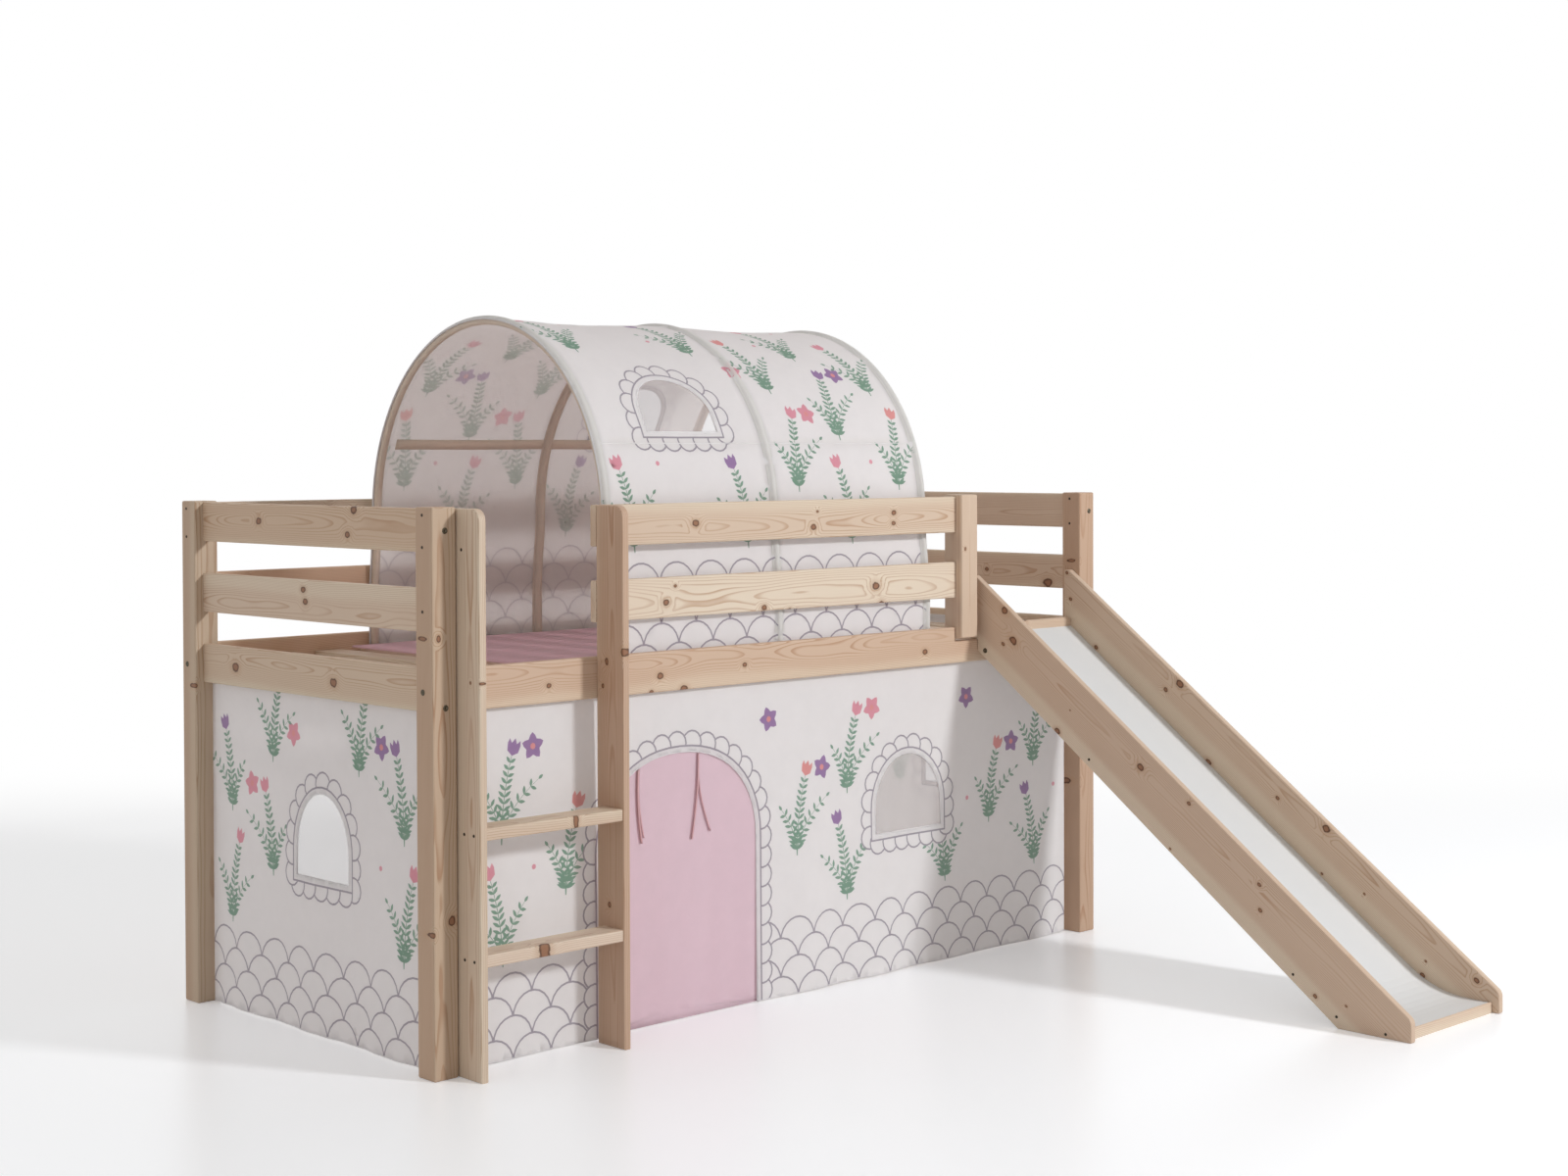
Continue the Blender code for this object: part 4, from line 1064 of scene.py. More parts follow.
def garden(width, low, high, openings, draw):
    """Plants, daisies and dots in a half-drop repeat, kept clear of the openings."""
    shapes = []
    columns = int(width / PLANT_PITCH[0])
    margin = (width - (columns - 1) * PLANT_PITCH[0]) / 2
    for column in range(columns):
        u = margin + column * PLANT_PITCH[0]
        drop = PLANT_PITCH[1] / 2 if column % 2 else 0
        for row in range(int((high - low - drop) / PLANT_PITCH[1]) + 1):
            foot = low + drop + row * PLANT_PITCH[1]
            if foot + SPRIG_HEIGHT + TIP_ROOM > high:
                continue
            odd = (column + row) % 2
            if clear_of(openings, u, foot + SPRIG_HEIGHT / 2, PLANT_ROOM):
                flower = FLOWERS[(column + 2 * row) % 4]
                shapes += plant((u, foot), PLANT_LEAN if odd else -PLANT_LEAN, flower, draw)
            spot = (u + PLANT_PITCH[0] / 2, foot + PLANT_PITCH[1] * BETWEEN)
            inside = spot[0] < width - SIDE_ROOM and low < spot[1] < high - TOP_ROOM
            if not inside or not clear_of(openings, *spot, DAISY_ROOM):
                continue
            if odd:
                ink = INK[FLOWERS[(row + column + 1) % 4]]
                shapes += daisy(spot, DAISY_SIZE, ink, INK["coral"], draw)
            else:
                shapes.append((INK["pink"], disc(spot, DOT_RADIUS)))
    return shapes


print("a square metre of garden has", len(garden(1, 0, 1, [], random.Random(1))), "printed shapes")

# %% [markdown]
# ## Curtains
#
# Each curtain hangs from tape behind a rail. A hanging cloth is straight where it is held and only
# waves lower down, so the fold depth grows from nothing at the top to the full depth at the hem. A
# cloth simulation would give the same soft waves here, but the curtain hardly moves, and a formula
# keeps it exactly clear of the rail, the posts and the ladder.

# %% Fold a hanging cloth
CURTAIN_THICKNESS = 0.002
FOLD_DEPTH = 0.008
SMALL_FOLD = 0.0012
FLAT_HEIGHT = 0.695
# How uneven the folds are, in how many waves, and the small waves along and up the cloth
UNEVEN, UNEVEN_WAVES = 0.012, 9
SMALL_WAVES = (61, 5)


def hang(share, height, folds, phase):
    """How far a curtain stands outwards: straight at its top, in uneven waves at its hem."""
    fall = max(0, 1 - height / FLAT_HEIGHT)
    uneven = share + UNEVEN * math.sin(UNEVEN_WAVES * share + phase)
    wave = (1 - math.cos(2 * math.pi * folds * uneven)) / 2
    small = SMALL_WAVES[0] * share + SMALL_WAVES[1] * height + phase
    return FOLD_DEPTH * fall * wave + SMALL_FOLD * fall * (1 + math.sin(small))


def facing(axis, outward):
    """Direction out of the bed, the same all over a curtain that runs along an axis."""
    direction = Vector((0, 0, 0))
    direction[1 - axis] = outward
    return lambda _: direction


def hung_place(node, axis, outward, folds, phase):
    """Function that puts a point of the flat curtain in space."""
    low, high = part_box(node)
    length = high[axis] - low[axis]
    other = 1 - axis
    held = (high if outward < 0 else low)[other] + outward * CURTAIN_THICKNESS / 2

    def place(u, v, lift=0):
        point = [0, 0, low.z + v]
        point[axis] = low[axis] + u
        point[other] = held + outward * (hang(u / length, v, folds, phase) + lift)
        return Vector(point)

    return place


print("a fold at the hem is", round(1000 * hang(0.5, 0, 1, 0), 1), "mm deep")

# %% Sew a window pane
PANE_SEAM = 0.012
PANE_PITCH = (0.012, 0.012)
PANE_DEPTH = 0.0022
PANE_CREASE = 0.0006
PANE_THICKNESS = 0.0004


def sew_pane(name, opening, place, outward, body, waves):
    """Sheer cloth sewn behind a window, with faint creases."""
    loop = grown(opening, PANE_SEAM)
    a, b, c, d = waves

    def behind(u, v):
        crease = PANE_CREASE * math.sin(a * u + b * v) * math.sin(c * v - d * u)
        return place(u, v, crease - PANE_DEPTH)

    pane = sew_sheet(name, loop, [], [], PANE_PITCH, behind, outward, PANE_THICKNESS, [sheer_cloth])
    attach([pane], body)
    loop_area(loop)


print("seam of a window pane:", PANE_SEAM)

# %% Trim a curtain
HEM_RADIUS = 0.0017
HEM_STEPS = 60


def bound_part(loop):
    """The part of an opening's edge that is bound, and whether it goes all the way round.

    A doorway is open at the floor, so its binding starts and ends at the hem.
    """
    feet = [place for place, (_, v) in enumerate(loop) if v <= 0]
    if not feet:
        return loop, True
    line = loop[feet[-1]:] + loop[:feet[0] + 1]
    return [(u, max(v, HEM_RADIUS)) for u, v in line], False


def trim_curtain(node, length, holes, place):
    """Bindings round the openings, and a hem that leaves the doorways free."""
    bound = [bound_part(loop) for loop in holes]
    trims = [tube(f"{node}_binding_{number + 1}", [place(*point) for point in line], HEM_RADIUS,
                  white_cloth, closed=closed) for number, (line, closed) in enumerate(bound)]
    doorways = [u for loop, (_, closed) in zip(holes, bound) if not closed
                for u in (loop[0][0], loop[1][0])]
    ends = sorted([0, length, *doorways])
    for number, (start, end) in enumerate(zip(ends[::2], ends[1::2])):
        hem = [place(start + (end - start) * index / HEM_STEPS, HEM_RADIUS)
               for index in range(HEM_STEPS + 1)]
        trims.append(tube(f"{node}_hem_{number + 1}", hem, HEM_RADIUS, white_cloth))
    return trims


print("a hem is", 2000 * HEM_RADIUS, "mm thick")

# %% Cut and hang a curtain
CURTAIN_PITCH = (0.016, 0.024)
HILL_ROWS = 4
HILL_START = -0.006
GARDEN_START = HILL_RISE * (HILL_ROWS - 1) + 0.06
GARDEN_END = 0.01
# Half width and half height that stay free of plants, as shares of an opening's own ones
CLEAR_SHARES = (1.12, 0.62)


def hang_curtain(node, axis, outward, folds, openings, phase, draw):
    """Curtain with its print, openings and trims."""
    low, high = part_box(node)
    length, height = high[axis] - low[axis], high.z - low.z
    place = hung_place(node, axis, outward, folds, phase)
    edge = [length * index / HEM_STEPS for index in range(HEM_STEPS + 1)]
    outline = [(u, 0) for u in edge] + [(u, height) for u in edge[::-1]]
    holes, kept_clear = [], []
    for centre, foot, shape in openings:
        holes.append([(centre + u, foot + v) for u, v in shape])
        tall, wide = max(v for _, v in shape), max(u for u, _ in shape)
        free = (wide * CLEAR_SHARES[0], tall * CLEAR_SHARES[1])
        kept_clear.append(((centre, foot + tall / 2), free))
    prints = hills(length, HILL_START, HILL_ROWS)
    prints += garden(length, GARDEN_START, height - GARDEN_END, kept_clear, draw)
    for loop in holes:
        prints += frame_print(loop)
    curtain = sew_sheet(node + "_cloth", outline, holes, prints, CURTAIN_PITCH, place,
                        facing(axis, outward), CURTAIN_THICKNESS, print_finishes)
    trims = trim_curtain(node, length, holes, place)
    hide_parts(node)
    attach([curtain, *trims], "bed")
    return curtain, trims, place, (length, height)


print("rows of hills on a curtain:", HILL_ROWS)

# %% [markdown]
# ## Front curtain and end curtains
#
# The front curtain has the door and one window, and each end curtain has one window. The windows
# could be cut out of a finished curtain with a boolean, but that leaves ragged prints. They are cut
# on the flat cloth. The cut sizes are printed, because a maker needs them, and the area is worked
# out: the cloth that is left once the openings are cut out.

# %% Draw the openings
WINDOW_SPRING = 0.06
WINDOW_RISE = 0.125
DOOR_SPRING = 0.376
DOOR_FULLNESS = 2.2
DOOR_STEPS = 28
DOOR = arched_loop(0.458, DOOR_SPRING, 0.211, DOOR_FULLNESS, DOOR_STEPS)
FRONT_WINDOW = arched_loop(0.2315, WINDOW_SPRING, WINDOW_RISE, 2)
END_WINDOW = arched_loop(0.199, WINDOW_SPRING, WINDOW_RISE, 2)
print("door opening:", [round(part, 3) for part in loop_size(DOOR)])

# %% Make the front curtain
CURTAIN_GAP = 0.004
WINDOW_SILL = 0.337 - CURTAIN_GAP
DOOR_TO_MIDDLE = 0.364
WRINKLES, TUNNEL_WRINKLES = (40, 55, 23, 17), (45, 30, 35, 20)
FRONT_FOLDS, END_FOLDS = 7, 3
to_front = facing(0, -1)
low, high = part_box("curtain_front")
door_u, window_u = -DOOR_TO_MIDDLE - low.x, DOOR_TO_MIDDLE - low.x
# The door's hole runs on to the floor, past the edge of the cloth, so that it is open at its foot
door_hole = [(u, v if v else -CURTAIN_GAP) for u, v in DOOR]
front_openings = [(door_u, 0, door_hole), (window_u, WINDOW_SILL, FRONT_WINDOW)]
front_curtain, front_trims, front_place, front_size = hang_curtain(
    "curtain_front", 0, -1, FRONT_FOLDS, front_openings, 0.4, random.Random(11))
front_window = [(window_u + u, WINDOW_SILL + v) for u, v in FRONT_WINDOW]
sew_pane("front_window_pane", front_window, front_place, to_front, "bed",
         WRINKLES)
front_area = front_size[0] * front_size[1] - loop_area(DOOR) - loop_area(FRONT_WINDOW)
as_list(front_trims)
print("front curtain cut:", [round(part, 3) for part in front_size])

# %% Make the end curtains
END_WINDOW_PLACE = 0.568
for side, outward in (("left", -1), ("right", 1)):
    node = "curtain_" + side
    middle = END_WINDOW_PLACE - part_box(node)[0].y
    curtain, trims, place, size = hang_curtain(
        node, 1, outward, END_FOLDS, [(middle, WINDOW_SILL, END_WINDOW)], 1.1 + outward,
        random.Random(20 + outward))
    window = [(middle + u, WINDOW_SILL + v) for u, v in END_WINDOW]
    sew_pane(side + "_window_pane", window, place, facing(1, outward), "bed",
             WRINKLES)
    size[0] * size[1] - loop_area(END_WINDOW)
    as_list(trims)
    print(side, "curtain cut:", [round(part, 3) for part in size])

# %% [markdown]
# ## The door flap and its ribbons
#
# The door is a loose pink cloth behind the opening, hung from its top edge. Two pairs of ribbons
# tie it up when it is rolled, and hang down when it is not. A flat strip would show its whole width
# from the side, so each ribbon is a strip folded along its middle. The flap rides on the door's own
# body, and the ribbons stay with the curtain that they are sewn to.

# %% Make the door flap
FLAP_HALF = 0.247
FLAP_FOLD = 0.006
FLAP_UNEVEN, FLAP_WAVES = (0.5, 3), (19, 2)
FLAP_PITCH = (0.014, 0.02)
FLAP_THICKNESS = 0.0015
FLAP_HEM = 0.0014
FLAP_HEM_HEIGHT = 0.0015
flap_low, flap_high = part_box("door_flap")
flap_middle = (flap_low.x + flap_high.x) / 2
flap_height = flap_high.z - flap_low.z


def flap_place(u, v, lift=0):
    """Flap behind the opening, with a few upright folds towards its hem."""
    drop = 1 - v / flap_height
    share = u / FLAP_HALF
    uneven = FLAP_UNEVEN[0] * math.sin(FLAP_UNEVEN[1] * share)
    wave = (1 - math.cos(2 * math.pi * share + uneven)) / 2
    small = SMALL_FOLD * drop * (1 + math.sin(FLAP_WAVES[0] * share + FLAP_WAVES[1] * drop))
    across = flap_low.y + FLAP_THICKNESS / 2 + FLAP_FOLD * wave * drop ** 2 + small - lift
    return Vector((flap_middle + u, across, flap_low.z + v))


flap_rise = flap_height - DOOR_SPRING
flap_loop = arched_loop(2 * FLAP_HALF, DOOR_SPRING, flap_rise, DOOR_FULLNESS, DOOR_STEPS)
flap = sew_sheet("door_flap_cloth", flap_loop, [], [], FLAP_PITCH, flap_place, to_front,
                 FLAP_THICKNESS, [pink_cloth])
hem_line = [flap_place(-FLAP_HALF + 2 * FLAP_HALF * index / HEM_STEPS, FLAP_HEM_HEIGHT)
            for index in range(HEM_STEPS + 1)]
flap_hem = tube("door_flap_hem", hem_line, FLAP_HEM, pink_cloth)
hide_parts("door_flap")
attach([flap, flap_hem], "door")
loop_area(flap_loop)
print("door flap cut:", [round(part, 3) for part in (2 * FLAP_HALF, flap_height)])

# %% Tie on the ribbons
TRIM_THICKNESS = 0.0006
RIBBON_WIDTH = 0.010
RIBBON_FOLD = 0.2
RIBBON_GAP = 0.0045
RIBBON_STEPS = 22
# Place across the door, top, length, sway to one side, bow and turn
RIBBONS = (
    (-0.123, 0.564, 0.160, 0.009, -0.004, 0.05), (-0.119, 0.565, 0.150, 0.012, -0.005, -0.50),
    (0.050, 0.584, 0.188, -0.020, 0.002, 0.05), (0.053, 0.584, 0.176, 0.034, -0.008, -0.55),
)


def ribbon(name, u, top, length, sway, bow, turn):
    """Narrow ribbon, folded along its middle, that hangs from the edge of the door opening."""
    points, spots = [], []
    for index in range(RIBBON_STEPS + 1):
        share = index / RIBBON_STEPS
        x = u + sway * share ** 1.5 + bow * math.sin(math.pi * share)
        middle = flap_place(x, top - length * share - flap_low.z, RIBBON_GAP)
        for place, fold in enumerate((-RIBBON_FOLD, None, RIBBON_FOLD)):
            point = middle.copy()
            if fold:
                angle = turn + 0.15 * share + fold
                point += Vector((math.cos(angle), -math.sin(angle), 0)) * RIBBON_WIDTH / 2
            points.append(point)
            spots.append((RIBBON_WIDTH * place / 2, length * share))
    piece = link_mesh(name, points, net_faces(2, RIBBON_STEPS), ribbon_cloth)
    lay_cut(piece, spots)
    thicken(piece, TRIM_THICKNESS)
    attach([piece], "bed")


for number, values in enumerate(RIBBONS):
    ribbon(f"door_ribbon_{number + 1}", *values)
print("ribbons:", len(RIBBONS))

# %% [markdown]
# ## The tunnel
#
# The tunnel's cover is one printed cloth over three bent rods. Its shape is an arch on two nearly
# upright legs. A half pipe bent by a modifier would stretch its print. To print and cut it flat,
# the arch is rolled out: a table of lengths along the arch turns a place on the flat cloth into a
# place on the curve, and between the rods the cloth sags.

# %% Measure the arch
TUNNEL_HALF = 0.435
TUNNEL_FLARE = 0.015
TUNNEL_LEG = 0.3194
ARCH_RISE = 0.452
LEG_STEPS = 12
ARCH_STEPS = 96
cover_low, cover_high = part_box("tunnel_cover")
tunnel_middle = (cover_low.y + cover_high.y) / 2
cover_width = cover_high.x - cover_low.x

legs = np.linspace(1, 0, LEG_STEPS + 1)[:-1]
angles = np.linspace(0, math.pi, ARCH_STEPS + 1)
on_leg = np.ones(LEG_STEPS)
across_shares = np.concatenate([-on_leg, -np.cos(angles), on_leg])
up_shares = np.concatenate([0 * on_leg, np.sin(angles), 0 * on_leg])
down_shares = np.concatenate([legs, 0 * angles, legs[::-1]])


def arch_place(across, up, down, depth):
    """Place across and up for shares of the arch, at a depth under its outer face."""
    spread = min(1, down * 1.5)
    flare = TUNNEL_FLARE * spread ** 2 * (3 - 2 * spread)
    y = tunnel_middle + across * (TUNNEL_HALF - depth + flare)
    z = cover_low.z + TUNNEL_LEG * (1 - down) + up * (ARCH_RISE - depth)
    return y, z


arch_line = np.array([arch_place(*shares, 0)
                      for shares in zip(across_shares, up_shares, down_shares)])
steps_along = np.linalg.norm(np.diff(arch_line, axis=0), axis=1)
arch_lengths = np.concatenate([[0], np.cumsum(steps_along)])
arch_length = float(arch_lengths[-1])
print("the cover's cut is", round(cover_width, 3), "by", round(arch_length, 3))

# %% Roll out the cover
COVER_THICKNESS = 0.0016
COVER_SAG = 0.006
COVER_WRINKLE = 0.0022
RIDGE_HEIGHT = 0.0062
RIDGE_HALF = 0.0082
hoops = [f"tunnel_hoop_{number}" for number in (1, 2, 3)]
hoop_places = [sum(corner.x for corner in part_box(hoop)) / 2 for hoop in hoops]
hoop_pitch = hoop_places[1] - hoop_places[0]


def ridge_at(from_hoop):
    """How far a rod pushes the cloth up, at a distance from the rod."""
    return RIDGE_HEIGHT * math.sqrt(max(0, 1 - (from_hoop / RIDGE_HALF) ** 2))


def cover_place(u, v, lift=0):
    """Place of a point of the flat cover, lifted off its middle by a distance."""
    shares = [float(np.interp(v, arch_lengths, column))
              for column in (across_shares, up_shares, down_shares)]
    x = cover_low.x + u
    between = math.sin(math.pi * (x - hoop_places[0]) / hoop_pitch) ** 2
    inside = hoop_places[0] < x < hoop_places[-1]
    sag = COVER_SAG * between * shares[1] if inside else 0
    wrinkle = COVER_WRINKLE * between * noise.noise(Vector((x * 9, v * 5, 3.0)))
    ridge = ridge_at(min(abs(x - hoop) for hoop in hoop_places))
    y, z = arch_place(*shares, COVER_THICKNESS / 2 + sag + abs(wrinkle) - ridge - lift)
    return Vector((x, y, z))


def length_at(height):
    """Length along the front of the arch at which the cover reaches a height."""
    half = len(arch_line) // 2 + 1
    return float(np.interp(height, arch_line[:half, 1], arch_lengths[:half]))


def cover_outward(point):
    """Direction out of the tunnel."""
    return Vector((0, point.y - tunnel_middle, point.z - cover_low.z - TUNNEL_LEG * 0.6))


print("rods of the tunnel are", round(hoop_pitch, 3), "m apart")

# %% Cut and bend the cover
TUNNEL_WINDOW = -0.295
TUNNEL_SILL = 1.293
TUNNEL_WINDOW_MIDDLE = TUNNEL_SILL + 0.061
COVER_PITCH = (0.02, 0.02)
COVER_EDGE_STEPS = 90
COVER_HILL_ROWS = 5
COVER_GARDEN_START = 0.25
COVER_CLEAR = (0.13, 0.10)


def turned(loop):
    """The loop at the same place on the cloth turned end for end."""
    return [(cover_width - u, arch_length - v) for u, v in loop]


window_u = TUNNEL_WINDOW - cover_low.x
window_shape = arched_loop(0.21, 0.045, 0.077, 2, 24)
front_hole = [(window_u + u, length_at(TUNNEL_SILL + v)) for u, v in window_shape]
cover_holes = [front_hole, turned(front_hole)]
edge = [arch_length * index / COVER_EDGE_STEPS for index in range(COVER_EDGE_STEPS + 1)]
cover_outline = [(cover_width, v) for v in edge] + [(0, v) for v in edge[::-1]]
kept_clear = [((window_u, length_at(TUNNEL_WINDOW_MIDDLE)), COVER_CLEAR)]
half_print = hills(cover_width, 0.0, COVER_HILL_ROWS)
half_print += garden(cover_width, COVER_GARDEN_START, arch_length / 2 - GARDEN_END, kept_clear,
                     random.Random(31))
half_print += frame_print(front_hole)
cover_prints = half_print + [(ink, turned(loop)) for ink, loop in half_print]
ridge_columns = [hoop - cover_low.x + share * RIDGE_HALF for hoop in hoop_places
                 for share in (-1, -0.87, -0.5, 0, 0.5, 0.87, 1)]
cover = sew_sheet("tunnel_cover_cloth", cover_outline, cover_holes, cover_prints, COVER_PITCH,
                  cover_place, cover_outward, COVER_THICKNESS, print_finishes, ridge_columns)
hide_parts("tunnel_cover")
attach([cover], "tunnel")
print("cover has", len(cover.data.polygons), "faces")

# %% [markdown]
# ## Sleeves, bands and tape
#
# Each rod slides into a sleeve of tape that is sewn under the cover, and pushes the cloth up into a
# ridge. On the outside a flat band is sewn over the ridge, and a tape runs along each side at the
# height of the seam. These trims could be modelled as bent strips of their own. Here they follow
# the same rolled-out arch as the cover, so they lie on the cloth wherever it goes.

# %% Sew the sleeves and the bands
SLEEVE_HALF = 0.015
SLEEVE_LOOP = 0.55
SLEEVE_DEPTH = 0.0120
SLEEVE_MARGIN = 0.003
TAPE_DEPTH = 0.0014
BAND_HALF = 0.0135
BAND_LIFT = 0.0009
RIBS = 10
ARCH_ROWS = 140
tunnel_trims = []


def sleeve_section(share):
    """Place across and depth of the tape that wraps round a rod, from edge to edge."""
    if abs(share) > SLEEVE_LOOP:
        across, depth = share * SLEEVE_HALF, TAPE_DEPTH
    else:
        angle = math.pi * (share / SLEEVE_LOOP + 1) / 2
        across = -SLEEVE_LOOP * SLEEVE_HALF * math.cos(angle)
        depth = TAPE_DEPTH + SLEEVE_DEPTH * math.sin(angle) ** 0.7
    return across, depth + ridge_at(across)


def band_section(share):
    """Place across and depth of the band that is sewn flat over a ridge on the outside."""
    across = share * BAND_HALF
    arch = (RIDGE_HEIGHT + BAND_LIFT) * math.cos(math.pi * share / 2) ** 2
    return across, -max(BAND_LIFT, arch - ridge_at(across))


def strip(name, line, rows, columns, finish):
    """Band of cloth from rows of points."""
    piece = link_mesh(name, line, net_faces(columns, rows), finish)
    piece.data.uv_layers.new(name="cut")
    thicken(piece, TRIM_THICKNESS)
    tunnel_trims.append(piece)


def along_hoop(name, hoop, section, finish, margin):
    """Band along a rod, from its section, kept clear of the cover's own edges by a margin."""
    points = []
    for index in range(ARCH_ROWS + 1):
        for rib in range(RIBS + 1):
            across, depth = section(2 * rib / RIBS - 1)
            u = min(max(hoop - cover_low.x + across, margin), cover_width - margin)
            points.append(cover_place(u, arch_length * index / ARCH_ROWS, -depth))
    strip(name, points, ARCH_ROWS, RIBS, finish)


for number, hoop in enumerate(hoop_places):
    along_hoop(f"hoop_sleeve_{number + 1}", hoop, sleeve_section, tape_cloth, SLEEVE_MARGIN)
    along_hoop(f"hoop_band_{number + 1}", hoop, band_section, band_cloth, 0)
print("sleeves and bands:", len(tunnel_trims))

# %% Sew the hems, bindings and side tapes
COVER_HEM = 0.0022
COVER_BINDING = 0.0018
SEAM_RADIUS = 0.0013
FOOT_HEM = 0.0016
EDGE_IN = 0.001
SEAM_LIFT = 0.0006
SEAM_HEIGHT = 1.268
SEAM_STEPS = 100
TAPE_HEIGHTS = (1.257, 1.281)
TAPE_UNDER = 0.0016
TAPE_START = 0.046
TAPE_ROWS = 60


def cover_cord(name, line, radius, closed=False):
    """Round trim along places on the cover."""
    points = [cover_place(*place) for place in line]
    tunnel_trims.append(tube(name, points, radius, white_cloth, closed))


for name, u in (("cover_hem_left", EDGE_IN), ("cover_hem_right", cover_width - EDGE_IN)):
    hem = [(u, arch_length * (index / ARCH_ROWS)) for index in range(ARCH_ROWS + 1)]
    cover_cord(name, hem, COVER_HEM)
for number, loop in enumerate(cover_holes):
    cover_cord(f"cover_binding_{number + 1}", loop, COVER_BINDING, closed=True)
across_cover = [cover_width * index / SEAM_STEPS for index in range(SEAM_STEPS + 1)]
for side in ("front", "back"):
    places = [length_at(height) for height in TAPE_HEIGHTS] + [length_at(SEAM_HEIGHT), EDGE_IN]
    if side == "back":
        places = [arch_length - place for place in places]
    *tape, seam, foot = places
    tape_line = [TAPE_START + (cover_width - 2 * TAPE_START) * (row / TAPE_ROWS)
                 for row in range(TAPE_ROWS + 1)]
    tape_points = [cover_place(u, v, -TAPE_UNDER) for u in tape_line for v in tape]
    strip(f"side_tape_{side}", tape_points, TAPE_ROWS, 1, tape_cloth)
    cover_cord(f"cover_seam_{side}", [(u, seam, SEAM_LIFT) for u in across_cover], SEAM_RADIUS)
    cover_cord(f"cover_foot_hem_{side}", [(u, foot) for u in across_cover], FOOT_HEM)
attach(tunnel_trims, "tunnel")
print("trims on the tunnel:", len(tunnel_trims))

cover_area = cover_width * arch_length - sum(loop_area(loop) for loop in cover_holes)
for side, loop in zip(("front", "back"), cover_holes):
    sew_pane("tunnel_pane_" + side, loop, cover_place, cover_outward, "tunnel",
             TUNNEL_WRINKLES)
print("cloth in the cover:", round(cover_area, 3), "square metres")

# %% [markdown]
# ## The play mat
#
# A thin pink mat lies on the slats inside the tunnel. A padded mat is fullest in its middle and is
# pinched at its sewn edge, and it sinks a little between the slats. It could be a box with rounded
# edges, but a crown worked out from the distance to the edge gives the pinch by itself.

# %% Sew the play mat
MAT_COLUMNS, MAT_ROWS = 90, 70
MAT_EDGE = 0.02
MAT_SEAM = 0.35
MAT_PIPING = 0.0024
MAT_RIPPLE = 0.0022
MAT_SMALL_RIPPLE = 0.0008
mat_low, mat_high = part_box("play_mat")


def mat_place(column, row, top):
    """Place on the top or the underside of the pad, pinched at its edge, with soft ripples."""
    size = mat_high - mat_low
    s, t = column / MAT_COLUMNS, row / MAT_ROWS
    edge = min(s, 1 - s) * size.x, min(t, 1 - t) * size.y
    full = (1 - math.exp(-edge[0] / MAT_EDGE)) * (1 - math.exp(-edge[1] / MAT_EDGE))
    x, y = mat_low.x + size.x * s, mat_low.y + size.y * t
    middle = mat_low.z + size.z * MAT_SEAM
    if not top:
        return (x, y, middle - (middle - mat_low.z) * full)
    ripple = MAT_RIPPLE * noise.noise(Vector((x * 5, y * 7, 0.3)))
    ripple += MAT_SMALL_RIPPLE * noise.noise(Vector((x * 19, y * 16, 4)))
    return (x, y, middle + (mat_high.z - MAT_RIPPLE - middle) * full + ripple * full)


points = [mat_place(column, row, top) for top in (True, False)
          for row in range(MAT_ROWS + 1) for column in range(MAT_COLUMNS + 1)]
across = MAT_COLUMNS + 1
layer = (MAT_ROWS + 1) * across
faces = []
for quad in net_faces(MAT_COLUMNS, MAT_ROWS):
    faces += [quad, tuple(layer + index for index in quad[::-1])]
# Indices once round the edge of the upper layer
rim = [*range(MAT_COLUMNS), *range(MAT_COLUMNS, layer - 1, across),
       *range(layer - 1, layer - across, -1), *range(layer - across, 0, -across)]
for index, here in enumerate(rim):
    before = rim[index - 1]
    faces.append((here, before, before + layer, here + layer))
mat = link_mesh("play_mat_pad", points, faces, mat_cloth)
weld(mat)
lay_cut(mat, [vertex.co[:2] for vertex in mat.data.vertices])
piping = tube("play_mat_piping", [points[here] for here in rim], MAT_PIPING, mat_cloth, closed=True)
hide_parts("play_mat")
attach([mat, piping], "bed")
print("mat of", len(points), "points is on the slats")

# %% [markdown]
# ## Bolts and screws
#
# Bolts pull the rails against the posts, and screws hold the rungs and the battens of the slide. A
# short cylinder would lack the rounded rim. A bolt head is a turned shape, so it is made as one: a
# half profile spun round its axis, with a socket sunk in its middle. Each head sits on the face of
# the board that it holds.

# %% Note where the bolts and screws are
# Half profiles from the middle outwards, as (radius, height over the board)
BOLT_PROFILE = [(0.0, 0.0003), (0.0025, 0.0003), (0.0028, 0.0015), (0.0048, 0.0016),
                (0.0060, 0.0010), (0.0064, 0.0002), (0.0064, -0.0015)]
SCREW_PROFILE = [(0.0, 0.0001), (0.0011, 0.0001), (0.0013, 0.0008), (0.0026, 0.0009),
                 (0.0032, 0.0004), (0.0033, -0.0010)]
HEAD_SIDES = 18
LEFT_POST_BOLTS = [(-1.009, 1.093), (-1.009, 0.741)]
RIGHT_POST_BOLTS = [(1.020, 1.092), (1.020, 0.741)]
END_SCREWS = [(0.141, 1.124), (0.141, 1.060), (0.141, 0.932)]
RUNG_SCREWS = [(0.0885, 0.489), (0.0565, 0.489), (0.0885, 0.2385), (0.0565, 0.2385)]
SLIDE_SCREWS = [(-0.2281, 0.5178), (-0.7941, 0.0996), (-0.9042, 0.0256), (-1.0241, 0.0093)]
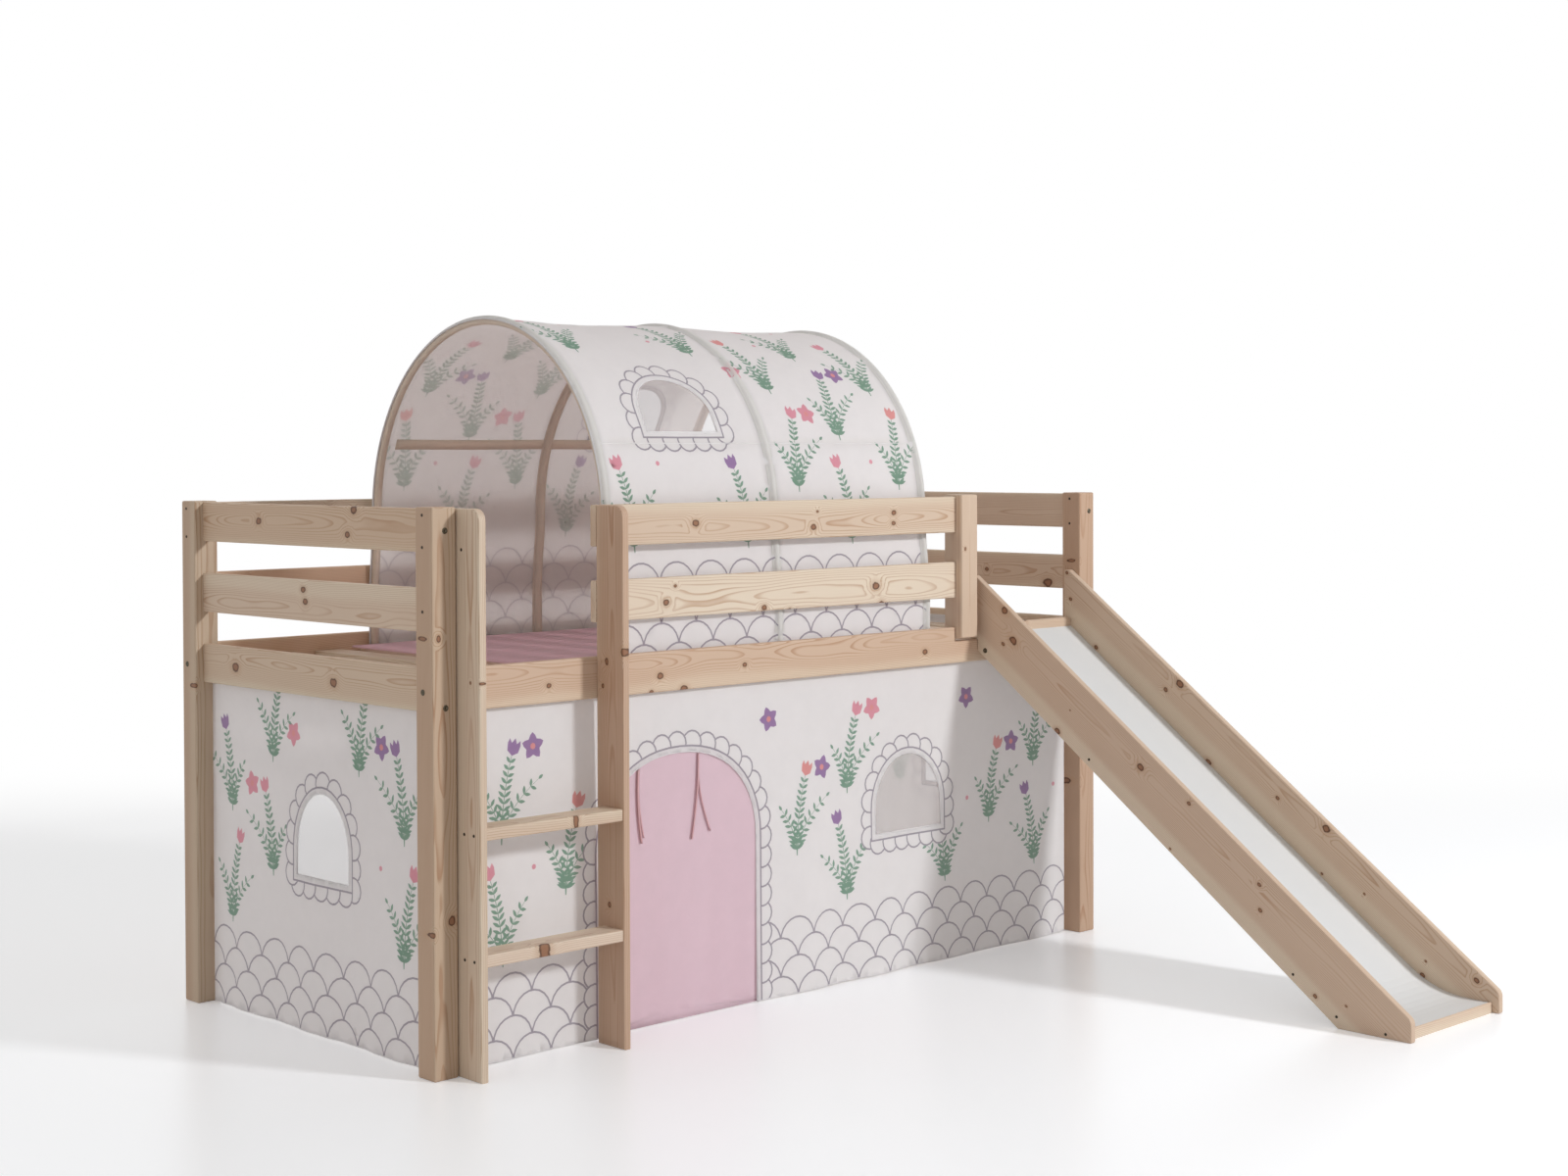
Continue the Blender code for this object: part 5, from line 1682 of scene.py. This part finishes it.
# Board, side of it, and places on that side: X or Y, then Z
BOLTS = [
    ("post_front_left", -X, [(0.141, 0.772)]), ("post_front_left", -Y, LEFT_POST_BOLTS),
    ("post_back_left", -X, [(1.0645, 0.7695)]), ("post_front_right", -Y, RIGHT_POST_BOLTS),
    ("post_front_right", X, [(0.141, 0.772)]), ("post_back_right", X, [(1.0645, 0.7695)]),
    ("post_back_left", Y, LEFT_POST_BOLTS), ("post_back_right", Y, RIGHT_POST_BOLTS),
    ("slide_board_right", X, [(0.1303, 0.8123)]), ("slide_board_left", -X, [(0.0959, 0.7562)]),
]
SCREWS = [
    ("post_front_left", -X, END_SCREWS),
    ("post_back_left", -X, [(1.0645, 1.1227), (1.0645, 1.059)]),
    ("post_front_right", -X, END_SCREWS), ("post_front_right", X, [(0.141, 1.060)]),
    ("post_back_right", X, [(1.0645, 1.059)]),
    ("ladder_stringer_left", -X, RUNG_SCREWS + [(0.0935, 1.055)]),
    ("ladder_stringer_right", X, RUNG_SCREWS),
    ("slide_board_left", -X, SLIDE_SCREWS), ("slide_board_right", X, SLIDE_SCREWS),
]
for kind, rows in (("bolts", BOLTS), ("screws", SCREWS)):
    print(kind, sum(len(places) for _, _, places in rows))

# %% Turn and fit the heads
def turned_heads(name, rows, profile, finish):
    """Heads of one kind on one node, spun from a half profile."""
    points, faces = [], []
    for node, normal, places in rows:
        low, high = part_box(node)
        axis = max(range(3), key=lambda place: abs(normal[place]))
        side = Z.cross(normal)
        for first, second in places:
            centre = Vector((first, first, second))
            centre[axis] = (high if normal[axis] > 0 else low)[axis]
            for level, (radius, height) in enumerate(profile):
                here = len(points)
                for turn in range(HEAD_SIDES):
                    angle = 2 * math.pi * turn / HEAD_SIDES
                    ring = radius * (math.cos(angle) * side + math.sin(angle) * Z)
                    points.append(centre + ring + height * normal)
                    onward, below = here + (turn + 1) % HEAD_SIDES, HEAD_SIDES
                    if level:
                        faces.append((here + turn - below, here + turn, onward, onward - below))
            faces.append(tuple(range(here, here + HEAD_SIDES)))
    piece = link_mesh(name, points, faces, finish)
    weld(piece)
    attach([piece], "bed")


KINDS = (("bolts", BOLTS, BOLT_PROFILE, bolt_finish),
         ("screws", SCREWS, SCREW_PROFILE, screw_finish))
carriers = sorted({row[0] for row in BOLTS + SCREWS})
for carrier in carriers:
    for kind, rows, profile, finish in KINDS:
        own = [row for row in rows if row[0] == carrier]
        if own:
            turned_heads(f"{carrier}_{kind}", own, profile, finish)
print("boards with heads on them:", len(carriers))

# %% [markdown]
# ## Measure the size
#
# The dressed bed should stay in the box of the frame, so the sizes of both boxes are printed. The
# size could be read off in the viewport as well.

# %% Measure and finish
dressed_box = [list(corner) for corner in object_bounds()]
for axis, letter in enumerate("xyz"):
    sides = [round(box[1][axis] - box[0][axis], 4) for box in (frame_box, dressed_box)]
    print(letter, "frame and dressed:", sides)
